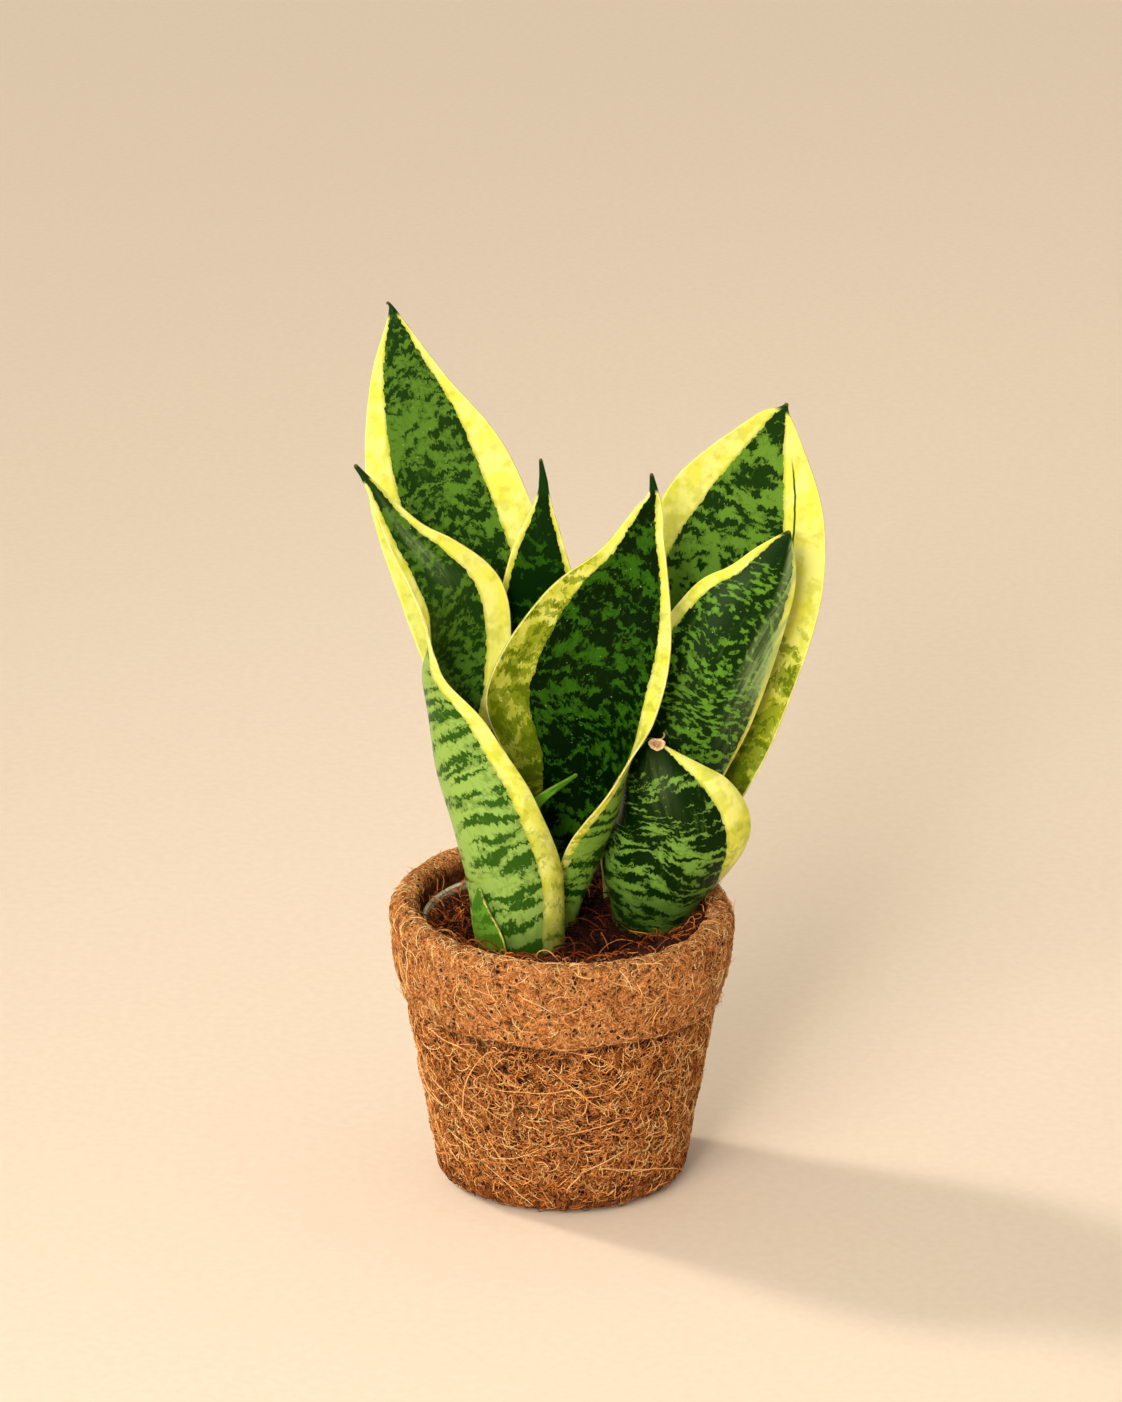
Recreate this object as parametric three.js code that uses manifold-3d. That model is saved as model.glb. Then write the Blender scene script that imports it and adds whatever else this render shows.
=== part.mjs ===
// Potted snake plant: a variegated Dracaena trifasciata in a coir pot.
// Millimetres, +Z up, origin at the centre of the pot's flat base, -Y toward the viewer.
import * as THREE from 'three';
import { mergeVertices } from 'three/addons/utils/BufferGeometryUtils.js';
import Module from 'manifold-3d';

const wasm = await Module();
wasm.setup();

// ---------------------------------------------------------------- driving dimensions

const RIM_RADIUS = 55.2; // widest part of the rim band
const RIM_CREST = 91; // height of the rim's rounded crest at the front
const ROLL_RADIUS = 4.7; // roundness of the crest
const RIM_LIFT = 6; // how much higher the rim stands at its highest side
const RIM_LIFT_SIDE = 125; // compass side of that lift, in degrees from +X
const RIM_LIFT_START = 53.5; // heights between which the lift comes in
const RIM_LIFT_END = 87;
const STEP_HEIGHT = 61.5; // lower edge of the rim band
const BODY_TOP_RADIUS = 49.2;
const BODY_FOOT_RADIUS = 40.5;
const BASE_FLAT_RADIUS = 33;
const FOOT_HEIGHT = 8.4;
const FOOT_ROUNDING = [[4, 1.3], [6.4, 4]]; // steps out from the flat base, and their heights
const STEP_CHAMFER = 1.5; // height of the band's undercut
const STEP_OVERHANG = 0.9; // how far the rim band stands out from the body at its lower edge
const BAND_SHOULDER = [[2.2, 8], [0.6, 15]]; // steps in from the rim's radius, above the step
const INNER_LIP = 70; // height where the wall's inside leaves the crest
const POT_FLOOR = 9;
const POT_WALL = 8;
const POT_SIDES = 48;
const CREST_FACETS = 6;
const FELT_RELIEF = 0.35; // lumpiness of the coir wall
const FELT_FREE_HEIGHT = 2; // the base below this stays flat

const GAP = 0.3; // clearance between pieces that touch
const LINER_WALL = 1.1;
const LINER_PLAY = 0.6; // room round the liner inside the pot
const LINER_TOP = 87.5;
const LINER_TOP_RADIUS = 45.2; // outside
const LINER_FOOT_RADIUS = 33;
const LINER_DRAIN_RADIUS = 3.5;
const LINER_DRAIN_RING = 20;
const LINER_DRAINS = 5;
const DRAIN_SIDES = 16;

const MIX_LEVEL = 83;
const MIX_RELIEF = 0.9;
const MIX_SHRINK = 2.2; // the mix has dried away from the liner near its top
const MIX_SHOULDER = 9; // how far down that gap closes

const LEAF_FOOT = 70; // where the leaves meet the rhizome
const RHIZOME_RADIUS = 6.5;
const ROOT_RADIUS = 1.5;

const EDGE_THICKNESS = 0.8;
const EDGE_TAPER = 2.5; // power by which a blade thins toward its edges
const FLESHY_SHARE = 0.35; // share of a leaf's length over which its foot thins to the blade
const TIP_PLUMPNESS = 0.4; // half the thickness of a tip, as a share of its width
const RUN_LENGTH = 0.09; // share of a leaf over which its cross-section is squared to its run

// Each leaf is a row of ribs from its foot to its tip:
// midrib x, y, z, width of the blade, compass bearing of its inner face, and roll of the blade.
const LEAVES = {
  leaf_back_left: {
    across: 8, foot: 4.2, blade: 2.2, wave: 0.5, waves: 4,
    ribs: [
      [-8, 21, LEAF_FOOT, 24, -85, 120],
      [-8, 23.5, 88, 30, -86, 108],
      [-9, 25, 110, 38, -88, 90],
      [-15, 27, 150, 47, -88, 70],
      [-26, 28, 190, 52, -90, 50],
      [-39.5, 30, 229, 48, -92, 35],
      [-49.3, 31, 259, 25, -93, 25],
      [-53.5, 31, 281, 3.4, -95, 20],
      [-55.5, 31, 285, 1, -95, 20],
    ],
  },
  leaf_front_left: {
    across: 10, foot: 4.2, blade: 2.2, wave: 0.3, waves: 3,
    ribs: [
      [-13.5, -20.5, LEAF_FOOT, 38, 74, 180],
      [-17, -23.3, 88, 46, 73, 184],
      [-19.5, -24, 105, 50, 69, 186],
      [-29, -20, 125, 50, 47, 182],
      [-39.5, -8, 145, 51, 10, 192],
      [-40.8, 4, 166, 51, -34, 183],
      [-37, 4.5, 182, 46, -41, 132],
      [-36, 3.5, 196, 36, -50, 98],
      [-43, 0.5, 208, 24, -53, 80],
      [-50.6, -1.5, 218, 14, -56, 60],
      [-60.5, -5.5, 236, 3.6, -60, 30],
      [-65, -7.5, 243, 1.2, -60, 30],
    ],
  },
  leaf_back_centre: {
    across: 6, foot: 3.2, blade: 1.8, wave: 0.2, waves: 3,
    ribs: [
      [-4, 13.5, LEAF_FOOT, 17, -90, 120],
      [-3, 19, 108, 24, -90, 90],
      [-5, 20.5, 150, 31, -90, 65],
      [-7, 19.5, 180, 30, -90, 55],
      [-7.4, 17, 204, 19.5, -90, 40],
      [-6, 15, 224, 5.4, -90, 30],
      [-6, 15, 231, 2.7, -90, 30],
      [-6.8, 15, 238, 1, -90, 30],
    ],
  },
  leaf_centre: {
    across: 12, foot: 3.6, blade: 2.2, wave: 0.3, waves: 3,
    ribs: [
      [-2, 5.5, LEAF_FOOT, 29, -135, 240],
      [1.5, 8, 90, 40, -135, 258],
      [7.5, 11, 107, 54, -136, 270],
      [12, 11, 125, 63, -132, 238],
      [11, 11, 142, 62, -120, 174],
      [5.5, 10, 162, 65, -102, 114],
      [15.5, 8, 188, 48, -100, 80],
      [23, 7, 206, 25, -98, 60],
      [25.8, 6.5, 217, 14.2, -98, 45],
      [27.7, 6.2, 223.5, 9.2, -98, 35],
      [29, 6, 229, 3.7, -98, 30],
      [28.2, 6, 236, 1, -98, 30],
    ],
  },
  leaf_back_right: {
    across: 8, foot: 4, blade: 2.2, wave: 0.8, waves: 5,
    ribs: [
      [24, 26, LEAF_FOOT, 22, -95, 140],
      [25, 28.5, 92, 29, -95, 130],
      [31, 31, 112, 44, -95, 85],
      [44, 34, 150, 59, -97, 70],
      [54, 36, 188, 61, -97, 48],
      [60.5, 37, 218, 51, -96, 35],
      [68, 36, 242, 17, -95, 25],
      [71, 36, 248, 3.4, -95, 20],
      [72, 36, 250, 1, -95, 20],
    ],
  },
  leaf_mid_right: {
    across: 8, foot: 4, blade: 2.2, wave: 0.3, waves: 3,
    ribs: [
      [28, 8, LEAF_FOOT, 26, 88, 150],
      [28.5, 6, 100, 36, 88, 140],
      [32, 7, 128, 42, 87, 125],
      [42, 10, 158, 47, 85, 102],
      [55.5, 14, 184, 36.5, 85, 75],
      [63, 15.5, 194, 25.5, 85, 65],
      [67.8, 17, 203, 16, 85, 55],
      [71.8, 18, 211.5, 3.2, 84, 30],
      [72.5, 18, 213, 1, 84, 30],
    ],
  },
  leaf_front_right: {
    across: 10, foot: 4.2, blade: 2.4, wave: 0.3, waves: 2,
    ribs: [
      [28, -2.5, LEAF_FOOT, 28, 88, 165],
      [29, -6.5, 88, 40, 88, 168],
      [30, -8.9, 98, 52, 88, 165],
      [33, -10, 108, 56, 85, 156],
      [35.6, -10, 119, 58.5, 80, 144],
      [32.4, -8.6, 131, 47, 75, 132],
      [29.6, -5.2, 141, 27.5, 72, 116],
      [29.4, -3.4, 148, 9, 70, 90],
      [30.3, -3, 149.5, 4, 70, 60],
    ],
  },
  sprout: {
    across: 4, foot: 1.8, blade: 1.2, wave: 0, waves: 1,
    ribs: [
      [-9, -4, LEAF_FOOT, 3.4, -60, 40],
      [-12, -5, 105, 4.4, -60, 40],
      [-10.5, -5.5, 126, 4.4, -65, 40],
      [4.8, -5, 138.8, 1, -75, 40],
    ],
  },
  basal_scale: {
    across: 6, foot: 1.6, blade: 1.1, wave: 0, waves: 1,
    ribs: [
      [-20, -23.5, LEAF_FOOT, 9, 50, 40],
      [-23.6, -24.2, 88, 13, 48, 45],
      [-26.1, -23.6, 99, 8, 46, 30],
      [-26.5, -23, 107, 1.2, 40, 20],
    ],
  },
};
const STATIONS_PER_RIB = 2;
const YOUNG_LEAVES = ['sprout', 'basal_scale'];

// ---------------------------------------------------------------- materials

function matte(color, roughness) {
  return new THREE.MeshStandardMaterial({ color, roughness, metalness: 0 });
}
const coir = () => matte(0xbe8250, 0.95);
const potPlastic = () => matte(0xd8cbb0, 0.6);
const husk = () => matte(0x5a2f1c, 1);
const rootFlesh = () => matte(0xd9b07a, 0.8);
const leafGreen = () => matte(0x3f6b2c, 0.4);
const youngGreen = () => matte(0x8fb552, 0.45);

// ---------------------------------------------------------------- solids and their geometry

function toSolid(geometry) {
  const bare = geometry.clone();
  bare.deleteAttribute('normal');
  bare.deleteAttribute('uv');
  const merged = mergeVertices(bare, 1e-4);
  return new wasm.Manifold(new wasm.Mesh({
    numProp: 3,
    vertProperties: new Float32Array(merged.attributes.position.array),
    triVerts: new Uint32Array(merged.index.array),
  }));
}

function toGeometry(solid) {
  const mesh = solid.getMesh();
  const geometry = new THREE.BufferGeometry();
  geometry.setAttribute('position', new THREE.BufferAttribute(mesh.vertProperties, 3));
  geometry.setIndex(new THREE.BufferAttribute(mesh.triVerts, 1));
  geometry.computeVertexNormals();
  return geometry;
}

function piece(name, geometry, material) {
  const mesh = new THREE.Mesh(geometry, material);
  mesh.name = name;
  return mesh;
}

// A profile of [radius, height] points turned about Z.
function turned(profile, sides) {
  const points = profile.map(([r, z]) => new THREE.Vector2(r, z));
  return new THREE.LatheGeometry(points, sides).rotateX(Math.PI / 2);
}

// Moves every vertex by a rule of its bearing and height.
function reshaped(geometry, rule) {
  const position = geometry.attributes.position;
  const point = new THREE.Vector3();
  for (let i = 0; i < position.count; i += 1) {
    point.fromBufferAttribute(position, i);
    rule(point, Math.atan2(point.y, point.x), Math.hypot(point.x, point.y));
    position.setXYZ(i, point.x, point.y, point.z);
  }
  return geometry;
}

// A round bar along a smooth curve through the given points.
function bar(points, radius, sides, steps) {
  const section = new THREE.Shape();
  section.absarc(0, 0, radius, 0, 2 * Math.PI);
  const path = new THREE.CatmullRomCurve3(points.map((p) => new THREE.Vector3(...p)));
  const options = { steps, extrudePath: path, curveSegments: sides / 2, bevelEnabled: false };
  return new THREE.ExtrudeGeometry(section, options);
}

const smoothstep = THREE.MathUtils.smoothstep;
const radians = THREE.MathUtils.degToRad;

// ---------------------------------------------------------------- coir pot

// The rim isn't level: it stands higher on one side, and the lift fades out down the wall.
function rimLift(bearing, height) {
  const side = (1 + Math.cos(bearing - radians(RIM_LIFT_SIDE))) / 2;
  return RIM_LIFT * side * smoothstep(height, RIM_LIFT_START, RIM_LIFT_END);
}

function feltRelief(bearing, height) {
  const broad = Math.sin(5 * bearing + height / 9) * Math.sin(3 * bearing - height / 14);
  const fine = Math.sin(11 * bearing - height / 6) * Math.sin(7 * bearing + height / 5);
  return FELT_RELIEF * (broad + fine);
}

function potProfile() {
  const ring = RIM_RADIUS - ROLL_RADIUS;
  const centre = RIM_CREST - ROLL_RADIUS;
  const crest = Array.from({ length: CREST_FACETS + 1 }, (_, i) => {
    const angle = (i * Math.PI) / CREST_FACETS;
    return [ring + ROLL_RADIUS * Math.cos(angle), centre + ROLL_RADIUS * Math.sin(angle)];
  });
  return [
    [0, 0],
    [BASE_FLAT_RADIUS, 0],
    ...FOOT_ROUNDING.map(([out, height]) => [BASE_FLAT_RADIUS + out, height]),
    [BODY_FOOT_RADIUS, FOOT_HEIGHT],
    [(BODY_FOOT_RADIUS + BODY_TOP_RADIUS) / 2, (FOOT_HEIGHT + STEP_HEIGHT) / 2],
    [BODY_TOP_RADIUS, STEP_HEIGHT - STEP_CHAMFER],
    [BODY_TOP_RADIUS + STEP_OVERHANG, STEP_HEIGHT],
    ...BAND_SHOULDER.map(([inset, rise]) => [RIM_RADIUS - inset, STEP_HEIGHT + rise]),
    ...crest,
    [LINER_TOP_RADIUS + LINER_PLAY, INNER_LIP],
    [LINER_FOOT_RADIUS + LINER_PLAY, POT_FLOOR],
    [0, POT_FLOOR],
  ];
}

function coirPot() {
  const wall = turned(potProfile(), POT_SIDES);
  return reshaped(wall, (point, bearing, radius) => {
    const outside = point.z > FELT_FREE_HEIGHT && radius > linerRadius(point.z) + POT_WALL / 2;
    const relief = outside ? feltRelief(bearing, point.z) : 0;
    const scale = radius > 0 ? (radius + relief) / radius : 1;
    point.x *= scale;
    point.y *= scale;
    point.z += rimLift(bearing, point.z);
  });
}

// ---------------------------------------------------------------- grow pot inside

// Outside radius of the liner at a height.
function linerRadius(height) {
  const share = (height - POT_FLOOR) / (LINER_TOP - POT_FLOOR);
  return LINER_FOOT_RADIUS + share * (LINER_TOP_RADIUS - LINER_FOOT_RADIUS);
}

function nurseryLiner() {
  const floor = POT_FLOOR + GAP;
  const shell = toSolid(turned([
    [0, floor],
    [linerRadius(floor), floor],
    [LINER_TOP_RADIUS, LINER_TOP],
    [LINER_TOP_RADIUS - LINER_WALL, LINER_TOP],
    [linerRadius(floor + LINER_WALL) - LINER_WALL, floor + LINER_WALL],
    [0, floor + LINER_WALL],
  ], POT_SIDES));
  const depth = 4 * LINER_WALL;
  const drain = new THREE.CylinderGeometry(LINER_DRAIN_RADIUS, LINER_DRAIN_RADIUS, depth, DRAIN_SIDES);
  drain.rotateX(Math.PI / 2).translate(LINER_DRAIN_RING, 0, floor);
  let drained = shell;
  for (let i = 0; i < LINER_DRAINS; i += 1) {
    const hole = drain.clone().rotateZ((i * 2 * Math.PI) / LINER_DRAINS);
    drained = drained.subtract(toSolid(hole));
  }
  return toGeometry(drained);
}

// ---------------------------------------------------------------- leaves

// Position, run, facing, width and roll of a leaf at a share t of its length.
function leafFrames(ribs) {
  const spine = new THREE.CatmullRomCurve3(
    ribs.map(([x, y, z]) => new THREE.Vector3(x, y, z)), false, 'catmullrom');
  const shape = new THREE.CatmullRomCurve3(
    ribs.map(([, , , width, bearing, roll]) => new THREE.Vector3(width, bearing, roll)),
    false, 'catmullrom');
  return (t) => {
    const centre = spine.getPoint(t);
    const ahead = spine.getPoint(Math.min(t + RUN_LENGTH, 1));
    const behind = spine.getPoint(Math.max(t - RUN_LENGTH, 0));
    const run = ahead.sub(behind).normalize();
    const { x: width, y: bearing, z: roll } = shape.getPoint(t);
    const inward = new THREE.Vector3(Math.cos(radians(bearing)), Math.sin(radians(bearing)), 0);
    inward.addScaledVector(run, -inward.dot(run)).normalize();
    const sideways = new THREE.Vector3().crossVectors(run, inward);
    return { centre, inward, sideways, width: Math.max(width, 1), roll: radians(Math.max(roll, 5)) };
  };
}

// Half the blade's thickness: fleshy at the foot and midrib, thin at the edges.
function halfThickness(leaf, t, u, width) {
  const flesh = THREE.MathUtils.lerp(leaf.foot, leaf.blade, smoothstep(t, 0, FLESHY_SHARE)) / 2;
  const middle = Math.min(flesh, Math.max(TIP_PLUMPNESS * width, EDGE_THICKNESS / 2));
  const swell = 1 - Math.abs(u) ** EDGE_TAPER;
  return EDGE_THICKNESS / 2 + (middle - EDGE_THICKNESS / 2) * swell;
}

// A closed blade: a grid of stations along the leaf and points across it, on both faces.
// A blade that is grown by a clearance cuts the slot that the leaf stands in.
function leafBlade(leaf, clearance = 0) {
  const frameAt = leafFrames(leaf.ribs);
  const across = leaf.across;
  const stations = (leaf.ribs.length - 1) * STATIONS_PER_RIB;
  const ring = 2 * (across + 1);
  const positions = [];
  const faces = [];
  const quad = (a, b, c, d) => faces.push(a, b, c, a, c, d);
  for (let i = 0; i <= stations; i += 1) {
    const t = i / stations;
    const { centre, inward, sideways, width, roll } = frameAt(t);
    const radius = width / roll;
    for (let j = 0; j < ring; j += 1) {
      const inner = j <= across;
      const u = inner ? -1 + (2 * j) / across : 1 - (2 * (j - across - 1)) / across;
      const angle = (u * roll) / 2 + Math.sign(u) * (Math.abs(u) === 1 ? clearance / radius : 0);
      const normal = inward.clone().multiplyScalar(Math.cos(angle))
        .addScaledVector(sideways, -Math.sin(angle));
      const ripple = leaf.wave * Math.abs(u) ** 3 * Math.sin(Math.PI * t)
        * Math.sin(2 * Math.PI * leaf.waves * t + 1.3 * u);
      const half = halfThickness(leaf, t, u, width) + clearance;
      const point = centre.clone()
        .addScaledVector(sideways, radius * Math.sin(angle))
        .addScaledVector(inward, radius * (1 - Math.cos(angle)))
        .addScaledVector(normal, ripple + (inner ? half : -half));
      positions.push(point.x, point.y, point.z);
    }
  }
  for (let i = 0; i < stations; i += 1) {
    for (let j = 0; j < ring; j += 1) {
      const next = (j + 1) % ring;
      const low = i * ring;
      const high = low + ring;
      if (j <= across) quad(low + j, low + next, high + next, high + j);
      else quad(high + j, low + j, low + next, high + next);
    }
  }
  const tip = stations * ring;
  for (let j = 0; j < across; j += 1) {
    const opposite = ring - 1 - j;
    quad(j + 1, j, opposite, opposite - 1);
    quad(tip + j, tip + j + 1, tip + opposite - 1, tip + opposite);
  }
  const geometry = new THREE.BufferGeometry();
  geometry.setAttribute('position', new THREE.Float32BufferAttribute(positions, 3));
  geometry.setIndex(faces);
  geometry.computeVertexNormals();
  return geometry;
}

// ---------------------------------------------------------------- rhizome and potting mix

const LEAF_SEAT = 1; // how deep the leaves sit in the rhizome's top
const RHIZOME_LEVEL = LEAF_FOOT + LEAF_SEAT - RHIZOME_RADIUS;
const STEM_SIDES = 8;
const STEM_STEPS = 9;
const ROOT_SIDES = 6;
const ROOT_STEPS = 5;
const LEFT_STEM = [[-19, -24], [-13, -16], [-8, -4], [-3, 6], [-5, 15], [-9, 24]];
const RIGHT_STEM = [[28, -5], [27, 5], [25, 14], [20, 22]];
const RUNNER = [[-8, -2], [8, -8], [27, 3]];

const ROOTS = [
  [[-14, -16, 62], [-20, -20, 45], [-18, -14, 24]],
  [[-5, 12, 62], [-14, 20, 44], [-8, 22, 22]],
  [[28, 4, 62], [26, -8, 44], [18, -16, 26]],
  [[22, 18, 62], [22, 20, 42], [12, 18, 24]],
];

function withoutLeaves(solid) {
  return Object.values(LEAVES).reduce(
    (rest, leaf) => rest.subtract(toSolid(leafBlade(leaf, GAP))), solid);
}

function stemsAndRoots(clearance = 0) {
  const stem = (route) => toSolid(bar(
    route.map(([x, y]) => [x, y, RHIZOME_LEVEL]), RHIZOME_RADIUS + clearance, STEM_SIDES, STEM_STEPS));
  const root = (route) => toSolid(bar(route, ROOT_RADIUS + clearance, ROOT_SIDES, ROOT_STEPS));
  let joined = stem(LEFT_STEM).add(stem(RIGHT_STEM)).add(stem(RUNNER));
  for (const route of ROOTS) joined = joined.add(root(route));
  return joined;
}

function mixLevel(x, y) {
  const clods = Math.sin(x / 5.1 + 1) * Math.cos(y / 4.3) + 0.6 * Math.sin(x / 2.9 - y / 3.7);
  return MIX_LEVEL + MIX_RELIEF * clods;
}

function rhizome() {
  return toGeometry(withoutLeaves(stemsAndRoots()));
}

// The mix fills the liner, with a slot for each leaf and a hollow for the rhizome.
function pottingMix() {
  const floor = POT_FLOOR + LINER_WALL + 2 * GAP;
  const inside = (height) => linerRadius(height) - LINER_WALL - GAP;
  const crown = inside(MIX_LEVEL) - MIX_SHRINK;
  const top = [1, 0.8, 0.6, 0.4, 0.2].map((share) => [share * crown, MIX_LEVEL]);
  const heap = reshaped(turned([
    [0, floor],
    [inside(floor), floor],
    [inside(MIX_LEVEL - MIX_SHOULDER), MIX_LEVEL - MIX_SHOULDER],
    ...top,
    [0, MIX_LEVEL],
  ], POT_SIDES / 2), (point) => {
    if (point.z > MIX_LEVEL - 1) point.z = mixLevel(point.x, point.y);
  });
  return toGeometry(withoutLeaves(toSolid(heap).subtract(stemsAndRoots(GAP))));
}

// ---------------------------------------------------------------- assembly

const plant = new THREE.Group();
plant.name = 'potted_snake_plant';
plant.add(piece('coir_pot', coirPot(), coir()));
plant.add(piece('nursery_liner', nurseryLiner(), potPlastic()));
plant.add(piece('potting_mix', pottingMix(), husk()));
plant.add(piece('rhizome', rhizome(), rootFlesh()));
for (const [name, leaf] of Object.entries(LEAVES)) {
  const colour = YOUNG_LEAVES.includes(name) ? youngGreen() : leafGreen();
  plant.add(piece(name, leafBlade(leaf), colour));
}

export default plant;
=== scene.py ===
"""Looks of the potted snake plant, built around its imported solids.

Metres in Blender, +Z up, -Y toward the viewer. Lengths below are in millimetres unless they
say otherwise.
"""

import itertools
import math

import bpy
import numpy as np
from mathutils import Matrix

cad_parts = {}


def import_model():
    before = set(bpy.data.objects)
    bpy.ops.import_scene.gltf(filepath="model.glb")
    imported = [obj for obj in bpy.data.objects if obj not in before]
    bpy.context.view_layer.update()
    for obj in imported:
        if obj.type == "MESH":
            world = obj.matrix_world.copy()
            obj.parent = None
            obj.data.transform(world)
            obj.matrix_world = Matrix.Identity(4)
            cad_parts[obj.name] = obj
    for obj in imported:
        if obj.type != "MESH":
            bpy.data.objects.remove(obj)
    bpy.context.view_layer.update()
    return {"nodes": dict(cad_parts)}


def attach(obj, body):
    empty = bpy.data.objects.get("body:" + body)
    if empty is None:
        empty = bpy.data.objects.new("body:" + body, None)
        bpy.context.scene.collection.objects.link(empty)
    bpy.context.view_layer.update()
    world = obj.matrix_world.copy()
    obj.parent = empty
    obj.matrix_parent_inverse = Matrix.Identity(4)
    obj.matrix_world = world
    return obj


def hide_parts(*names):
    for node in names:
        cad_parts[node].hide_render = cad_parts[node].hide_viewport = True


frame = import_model()
MM = 0.001

# ---- driving sizes, as in the solids

RIM_RADIUS = 55.2
RIM_CREST = 91
ROLL_RADIUS = 4.7
RIM_LIFT = 6
RIM_LIFT_SIDE = 125
RIM_LIFT_START = 53.5
RIM_LIFT_END = 87
STEP_HEIGHT = 61.5
FELT_RELIEF = 0.35
LINER_TOP = 87.5
LINER_TOP_RADIUS = 45.2
LINER_WALL = 1.1
MIX_LEVEL = 83
MIX_RELIEF = 0.9
MIX_RADIUS = 41.3
RIM_INSIDE = 45.6
EDGE_THICKNESS = 0.8
EDGE_TAPER = 2.5
FLESHY_SHARE = 0.35
TIP_PLUMPNESS = 0.4
RUN_LENGTH = 0.09

# The pot's outline, [radius, height], from its flat base up the outside. The crest arc follows it.
POT_OUTSIDE = [
    (33, 0), (37, 1.3), (39.4, 4), (40.5, 8.4), (44.85, 34.95), (49.2, 60),
    (50.1, 61.5), (53, 69.5), (54.6, 76.5),
]
POT_INSIDE = [(45.8, 70), (33.6, 9)]

# ---- leaves

# Each leaf's ribs are the solids' own: midrib x, y, z, width, bearing of the inner face, and roll.
# Its margins give, at each rib, how much of each half of the blade is yellow: left, then right,
# seen from inside. foot and blade are thicknesses, and wave and waves the ripple's height and
# count. moss_and_shade is how green the margins are at the foot and at the tip; above 1, as low on
# the centre leaf's left margin and the back right leaf's right one, it paints in the shade that
# falls there in olive. moss_and_shade_right is the same for a right margin that differs. awl is
# the dark point's length, dark_tip how far down its shade runs, edge how strong the pale edge line
# is, and foot_tone_and_shade and foot_top the foot's colour and height: an olive tint, which on the
# front left and front right leaves is a dark green of painted shade. waxed_sheen is a grey patch of
# wax with a painted sheen on it, and streak a green line. inner and outer are the looks of the two
# faces. With no outer, both look alike.


def look(light, dark, cover, across, along, teeth=5, zones=0.42):
    """Two greens, how much is light at the foot and the tip, a band's reach across and along the
    blade, how deep its teeth are, and how unevenly the bands cover the blade."""
    return dict(
        light=light, dark=dark, cover=cover, across=across, along=along, teeth=teeth, zones=zones
    )


HIDDEN_OUTER = look((124, 158, 62), (34, 72, 14), (0.6, 0.6), 18, 3)
HIDDEN_INNER = look((98, 138, 42), (22, 60, 10), (0.5, 0.6), 6, 2.8)
LEAVES = {}
LEAVES["leaf_back_left"] = dict(
    foot=4.2, blade=2.2, wave=0.5, waves=4, awl=5, seed=1, moss_and_shade=(0.3, 0.1), sheen=0.16,
    ribs=[
        (-8, 21, 70, 24, -85, 120), (-8, 23.5, 88, 30, -86, 108), (-9, 25, 110, 38, -88, 90),
        (-15, 27, 150, 47, -88, 70), (-26, 28, 190, 52, -90, 50), (-39.5, 30, 229, 48, -92, 35),
        (-49.3, 31, 259, 25, -93, 25), (-53.5, 31, 281, 3.4, -95, 20), (-55.5, 31, 285, 1, -95, 20),
    ],
    margins=[
        (0.3, 0.3), (0.3, 0.35), (0.33, 0.4), (0.36, 0.45), (0.38, 0.47), (0.4, 0.44), (0.38, 0.26),
        (0.3, 0.3), (0.2, 0.2),
    ],
    # Almost no light green at the foot: this darker foot is painted shade.
    inner=look((84, 124, 36), (16, 48, 7), (0.1, 0.84), 5, 2.2),
    outer=HIDDEN_OUTER,
)
LEAVES["leaf_front_left"] = dict(
    foot=4.2, blade=2.2, wave=0.3, waves=3, awl=7, seed=2, moss_and_shade=(0.5, 0.15), sheen=0.18,
    # The dark green foot tone is painted shade.
    foot_tone_and_shade=(34, 66, 8), foot_top=108,
    ribs=[
        (-13.5, -20.5, 70, 38, 74, 180), (-17, -23.3, 88, 46, 73, 184),
        (-19.5, -24, 105, 50, 69, 186), (-29, -20, 125, 50, 47, 182), (-39.5, -8, 145, 51, 10, 192),
        (-40.8, 4, 166, 51, -34, 183), (-37, 4.5, 182, 46, -41, 132), (-36, 3.5, 196, 36, -50, 98),
        (-43, 0.5, 208, 24, -53, 80), (-50.6, -1.5, 218, 14, -56, 60),
        (-60.5, -5.5, 236, 3.6, -60, 30), (-65, -7.5, 243, 1.2, -60, 30),
    ],
    margins=[
        (0.62, 0.25), (0.55, 0.25), (0.46, 0.25), (0.32, 0.25), (0.22, 0.25), (0.18, 0.28),
        (0.2, 0.36), (0.26, 0.46), (0.34, 0.42), (0.42, 0.36), (0.4, 0.4), (0.2, 0.2),
    ],
    # A patch of grey wax with a painted sheen on it.
    waxed_sheen=dict(across=(-0.1, 0.3), share=(0.7, 0.84), face=1, much=0.35),
    inner=look((76, 116, 30), (14, 50, 4), (0.36, 0.5), 4.2, 2.3),
    outer=look((144, 176, 80), (42, 82, 12), (0.7, 0.72), 18, 3.2),
)
LEAVES["leaf_back_centre"] = dict(
    foot=3.2, blade=1.8, wave=0.2, waves=3, awl=12, seed=3, moss_and_shade=(0.35, 0.3), sheen=0.1,
    ribs=[
        (-4, 13.5, 70, 17, -90, 120), (-3, 19, 108, 24, -90, 90), (-5, 20.5, 150, 31, -90, 65),
        (-7, 19.5, 180, 30, -90, 55), (-7.4, 17, 204, 19.5, -90, 40), (-6, 15, 224, 5.4, -90, 30),
        (-6, 15, 231, 2.7, -90, 30), (-6.8, 15, 238, 1, -90, 30),
    ],
    margins=[(0.18, 0.18)] * 3 + [(0.16, 0.16), (0.2, 0.18), (0.3, 0.26), (0, 0), (0, 0)],
    inner=look((42, 86, 10), (4, 34, 3), (0.4, 0.36), 4.6, 2.3),
    outer=look((124, 158, 62), (34, 72, 14), (0.6, 0.6), 16, 3),
)
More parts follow.
